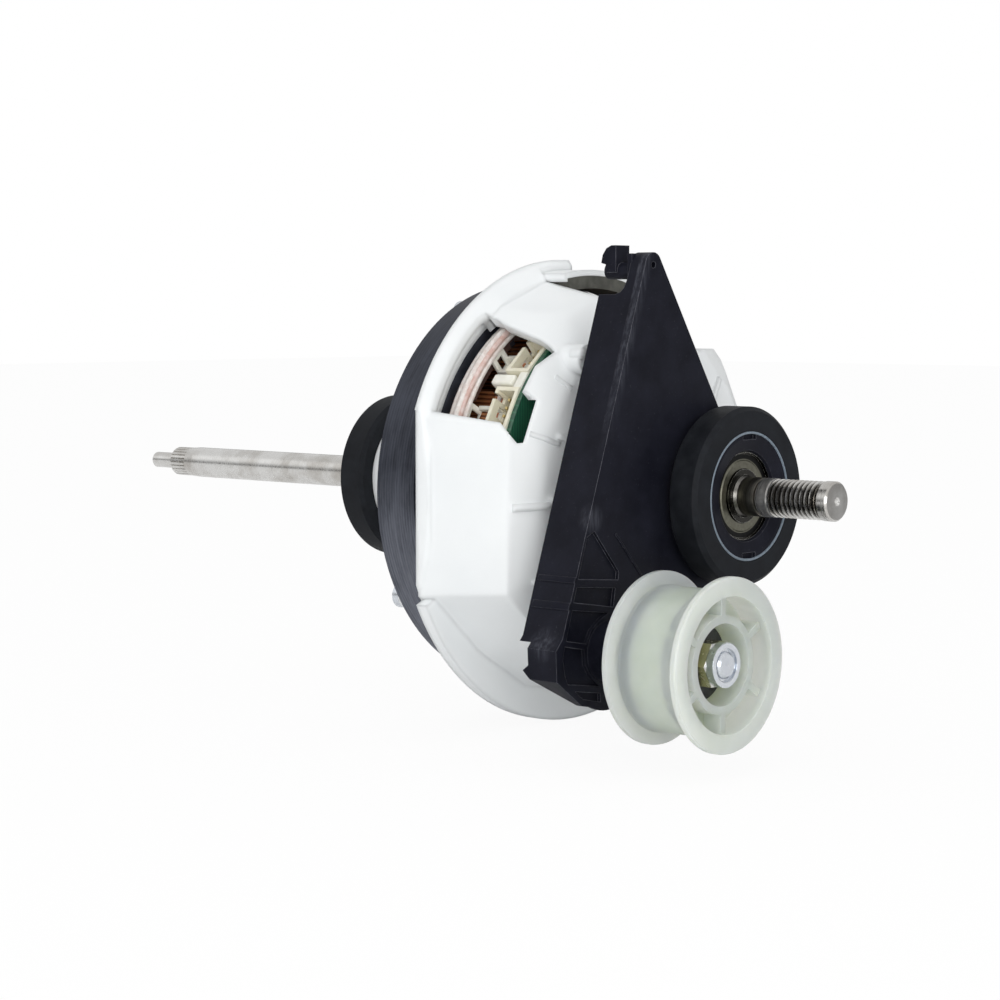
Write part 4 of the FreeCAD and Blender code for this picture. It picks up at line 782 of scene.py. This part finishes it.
def addBead():
    bpy.ops.object.select_all(action="DESELECT")
    bpy.ops.mesh.primitive_torus_add(
        major_radius=bead["radius"] * 0.001, minor_radius=bead["wire"] * 0.001, major_segments=96,
        minor_segments=10, location=metres(bead["place"], 0, 0), rotation=(0, math.radians(90), 0),
    )
    ring = bpy.context.object
    ring.name = "hubBead"
    bpy.ops.object.transform_apply(location=True, rotation=True, scale=True)
    bpy.ops.object.mode_set(mode="EDIT")
    bpy.ops.mesh.select_all(action="SELECT")
    cut = metres(bead["cut"], 0, 0)
    bpy.ops.mesh.bisect(plane_co=cut, plane_no=(1, 0, 0), use_fill=True, clear_inner=True)
    bpy.ops.object.mode_set(mode="OBJECT")
    dressed(ring, highlightBeadGrey)


addBead()

journal = {"radius": 5.45, "back": -1.9, "front": 4.95, "softening": 0.2}


def addJournal():
    back, front = journal["back"], journal["front"]
    bpy.ops.object.select_all(action="DESELECT")
    bpy.ops.mesh.primitive_cylinder_add(
        vertices=96, radius=journal["radius"] * 0.001, depth=(front - back) * 0.001,
        location=metres((front + back) / 2, 0, 0), rotation=(0, math.radians(90), 0),
    )
    sleeve = bpy.context.object
    sleeve.name = "journalSleeve"
    bpy.ops.object.transform_apply(location=True, rotation=True, scale=True)
    dressed(softened(sleeve, journal["softening"]), journalSteel, "rotor")


addJournal()

print("connector frames and solder")

connectors = {
    # name, angle, sideways shift
    "frames": (("upperLatchFrame", 131.0, 0.2), ("lowerLatchFrame", 152.0, -1.0)),
    "frameBack": -65.4,
    "frameFront": -64.2,
    "frameHalf": 2.9,
    "frameLow": 45.0,
    "frameHigh": 52.0,
    "holeLow": 46.6,
    "holeHigh": 50.4,
    "holeHalf": 1.3,
    "cheekHigh": 48.2,
    "cheekHalf": 0.6,
    "shellBack": -56.4,
    "bridgeAngle": 141.5,
    "bridgeCorner": ((-60.0, -1.6, 45.5), (-52.0, 1.9, 52.2)),
    "bridgeRim": ((-51.0, -3.2, 46.0), (-48.05, 3.0, 52.0)),
    "solderCount": 6,
    "solderStart": 136.6,
    "solderStep": 1.3,
    "solderLow": (-46.5, -0.35, 49.1),
    "solderHigh": (-46.05, 0.35, 50.9),
}


def addConnectorFrames():
    c = connectors
    back, front, shell, low = c["frameBack"], c["frameFront"], c["shellBack"], c["frameLow"]
    for name, angle, shift in c["frames"]:
        left, right = shift - c["frameHalf"], shift + c["frameHalf"]
        plate = block(name, (back, left, low), (front, right, c["frameHigh"]))
        cutBy(plate, block("cutter", (back - 1, shift - c["holeHalf"], c["holeLow"]),
                           (front + 1, shift + c["holeHalf"], c["holeHigh"])))
        shelf = block("shelf", (front - 0.2, left, low), (shell + 0.2, right, low + 1.2))
        half, high = c["cheekHalf"], c["cheekHigh"]
        cheeks = [
            block("cheek", (front - 0.3, edge - half, low), (shell + 0.2, edge + half, high))
            for edge in (right, left)
        ]
        walls = [softened(wall, 0.2) for wall in (shelf, *cheeks)]
        dressed(turnedTo(joined(name, softened(plate, 0.25), *walls), angle), plugWhite)
    corner = softened(block("cornerBlock", *c["bridgeCorner"]), 0.8, 3)
    rim = softened(block("rim", *c["bridgeRim"]), 0.4)
    bridge = turnedTo(joined("connectorBridge", corner, rim), c["bridgeAngle"])
    dressed(bridge, plugWhite)


addConnectorFrames()


def addSolder():
    c = connectors
    dots = []
    for i in range(c["solderCount"]):
        dot = softened(block("dot", c["solderLow"], c["solderHigh"]), 0.15)
        dots.append(turnedTo(dot, c["solderStart"] + c["solderStep"] * i))
    dressed(joined("solderRow", *dots), solder)


addSolder()

print("camera, lights and floor")

studio = {
    "cameraPlace": metres(417.23, -563.85, 52.64),
    "cameraRight": (0.7408166, 0.6717073, 0.0),
    "cameraUp": (-0.0514912, 0.0567889, 0.9970575),
    "lens": 90.495,
    "floorSize": 8.0,
    "floorGap": 0.0005,
    "floorGlow": 0.93,
    "lamps": (
        # name, place, aimed at, size, watts
        ("keyLamp", (0.35, -0.75, 1.15), (-0.05, 0.0, 0.0), 0.9, 2.0),
        ("sideLamp", (-0.95, -0.8, 0.5), (-0.08, 0.0, 0.0), 0.8, 0.5),
        ("frontLamp", (1.3, 0.1, 0.5), (0.0, 0.0, 0.0), 0.7, 0.8),
        ("lowLamp", (0.62, -0.68, 0.02), (-0.05, 0.0, -0.02), 0.6, 5.4),
    ),
    "worldStrength": 0.79,
    # the horizon's dim strip, as heights of a ray from level to straight up
    "stripEnds": (0.1, 0.38),
    "stripStrength": 0.3,
}


def addStudio():
    right, up = Vector(studio["cameraRight"]), Vector(studio["cameraUp"])
    back = right.cross(up)
    lens = bpy.data.cameras.new("photoCamera")
    lens.lens = studio["lens"]
    lens.sensor_width = 36.0
    lens.clip_start = 0.01
    lens.clip_end = 50.0
    camera = bpy.data.objects.new("photoCamera", lens)
    bpy.context.scene.collection.objects.link(camera)
    turn = Matrix((right, up, back)).transposed().to_4x4()
    camera.matrix_world = Matrix.Translation(studio["cameraPlace"]) @ turn
    bpy.context.scene.camera = camera
    for name, place, target, size, watts in studio["lamps"]:
        lamp = bpy.data.lights.new(name, "AREA")
        lamp.energy = watts
        lamp.size = size
        holder = bpy.data.objects.new(name, lamp)
        holder.location = place
        holder.rotation_euler = (Vector(target) - Vector(place)).to_track_quat("-Z", "Y").to_euler()
        bpy.context.scene.collection.objects.link(holder)

    world = bpy.data.worlds.new("studioWorld")
    bpy.context.scene.world = world
    world.use_nodes = True
    tree = world.node_tree
    path = tree.nodes.new("ShaderNodeLightPath")
    seen = tree.nodes.new("ShaderNodeMath")
    seen.operation = "MAXIMUM"
    tree.links.new(path.outputs["Is Camera Ray"], seen.inputs[0])
    tree.links.new(path.outputs["Is Transmission Ray"], seen.inputs[1])
    plain = tree.nodes["Background"]
    plain.inputs["Strength"].default_value = studio["worldStrength"]
    # a dim strip at the horizon, which polished steel shows
    spot = tree.nodes.new("ShaderNodeTexCoord")
    split = tree.nodes.new("ShaderNodeSeparateXYZ")
    strip = tree.nodes.new("ShaderNodeMapRange")
    strip.interpolation_type = "SMOOTHSTEP"
    strip.inputs["From Min"].default_value = studio["stripEnds"][0]
    strip.inputs["From Max"].default_value = studio["stripEnds"][1]
    strip.inputs["To Min"].default_value = studio["stripStrength"]
    tree.links.new(spot.outputs["Generated"], split.inputs[0])
    tree.links.new(split.outputs["Z"], strip.inputs["Value"])
    tree.links.new(strip.outputs[0], plain.inputs["Color"])
    white = tree.nodes.new("ShaderNodeBackground")
    white.inputs["Color"].default_value = (1, 1, 1, 1)
    white.inputs["Strength"].default_value = 1.0
    blend = tree.nodes.new("ShaderNodeMixShader")
    tree.links.new(seen.outputs[0], blend.inputs[0])
    tree.links.new(plain.outputs[0], blend.inputs[1])
    tree.links.new(white.outputs[0], blend.inputs[2])
    tree.links.new(blend.outputs[0], tree.nodes["World Output"].inputs["Surface"])

    bpy.ops.object.select_all(action="DESELECT")
    level = cadBox[0][2] - studio["floorGap"]
    bpy.ops.mesh.primitive_plane_add(size=studio["floorSize"], location=(0, 0, level))
    floor = bpy.context.object
    floor.name = "studioFloor"
    paper = Finish("floorPaper", Roughness=0.9, Base_Color=(0.95, 0.95, 0.95, 1))
    path = paper.tree.nodes.new("ShaderNodeLightPath")
    glow = paper.tree.nodes.new("ShaderNodeEmission")
    glow.inputs["Strength"].default_value = 1.0
    seen = Wire(paper, path.outputs["Is Camera Ray"])
    blend = paper.tree.nodes.new("ShaderNodeMixShader")
    paper.tree.links.new((seen * studio["floorGlow"]).socket, blend.inputs[0])
    paper.tree.links.new(paper.shader.outputs[0], blend.inputs[1])
    paper.tree.links.new(glow.outputs[0], blend.inputs[2])
    paper.tree.links.new(blend.outputs[0], paper.tree.nodes["Material Output"].inputs["Surface"])
    floor.data.materials.append(paper.material)


addStudio()
bpy.context.scene.view_settings.view_transform = "Standard"

print("finished")
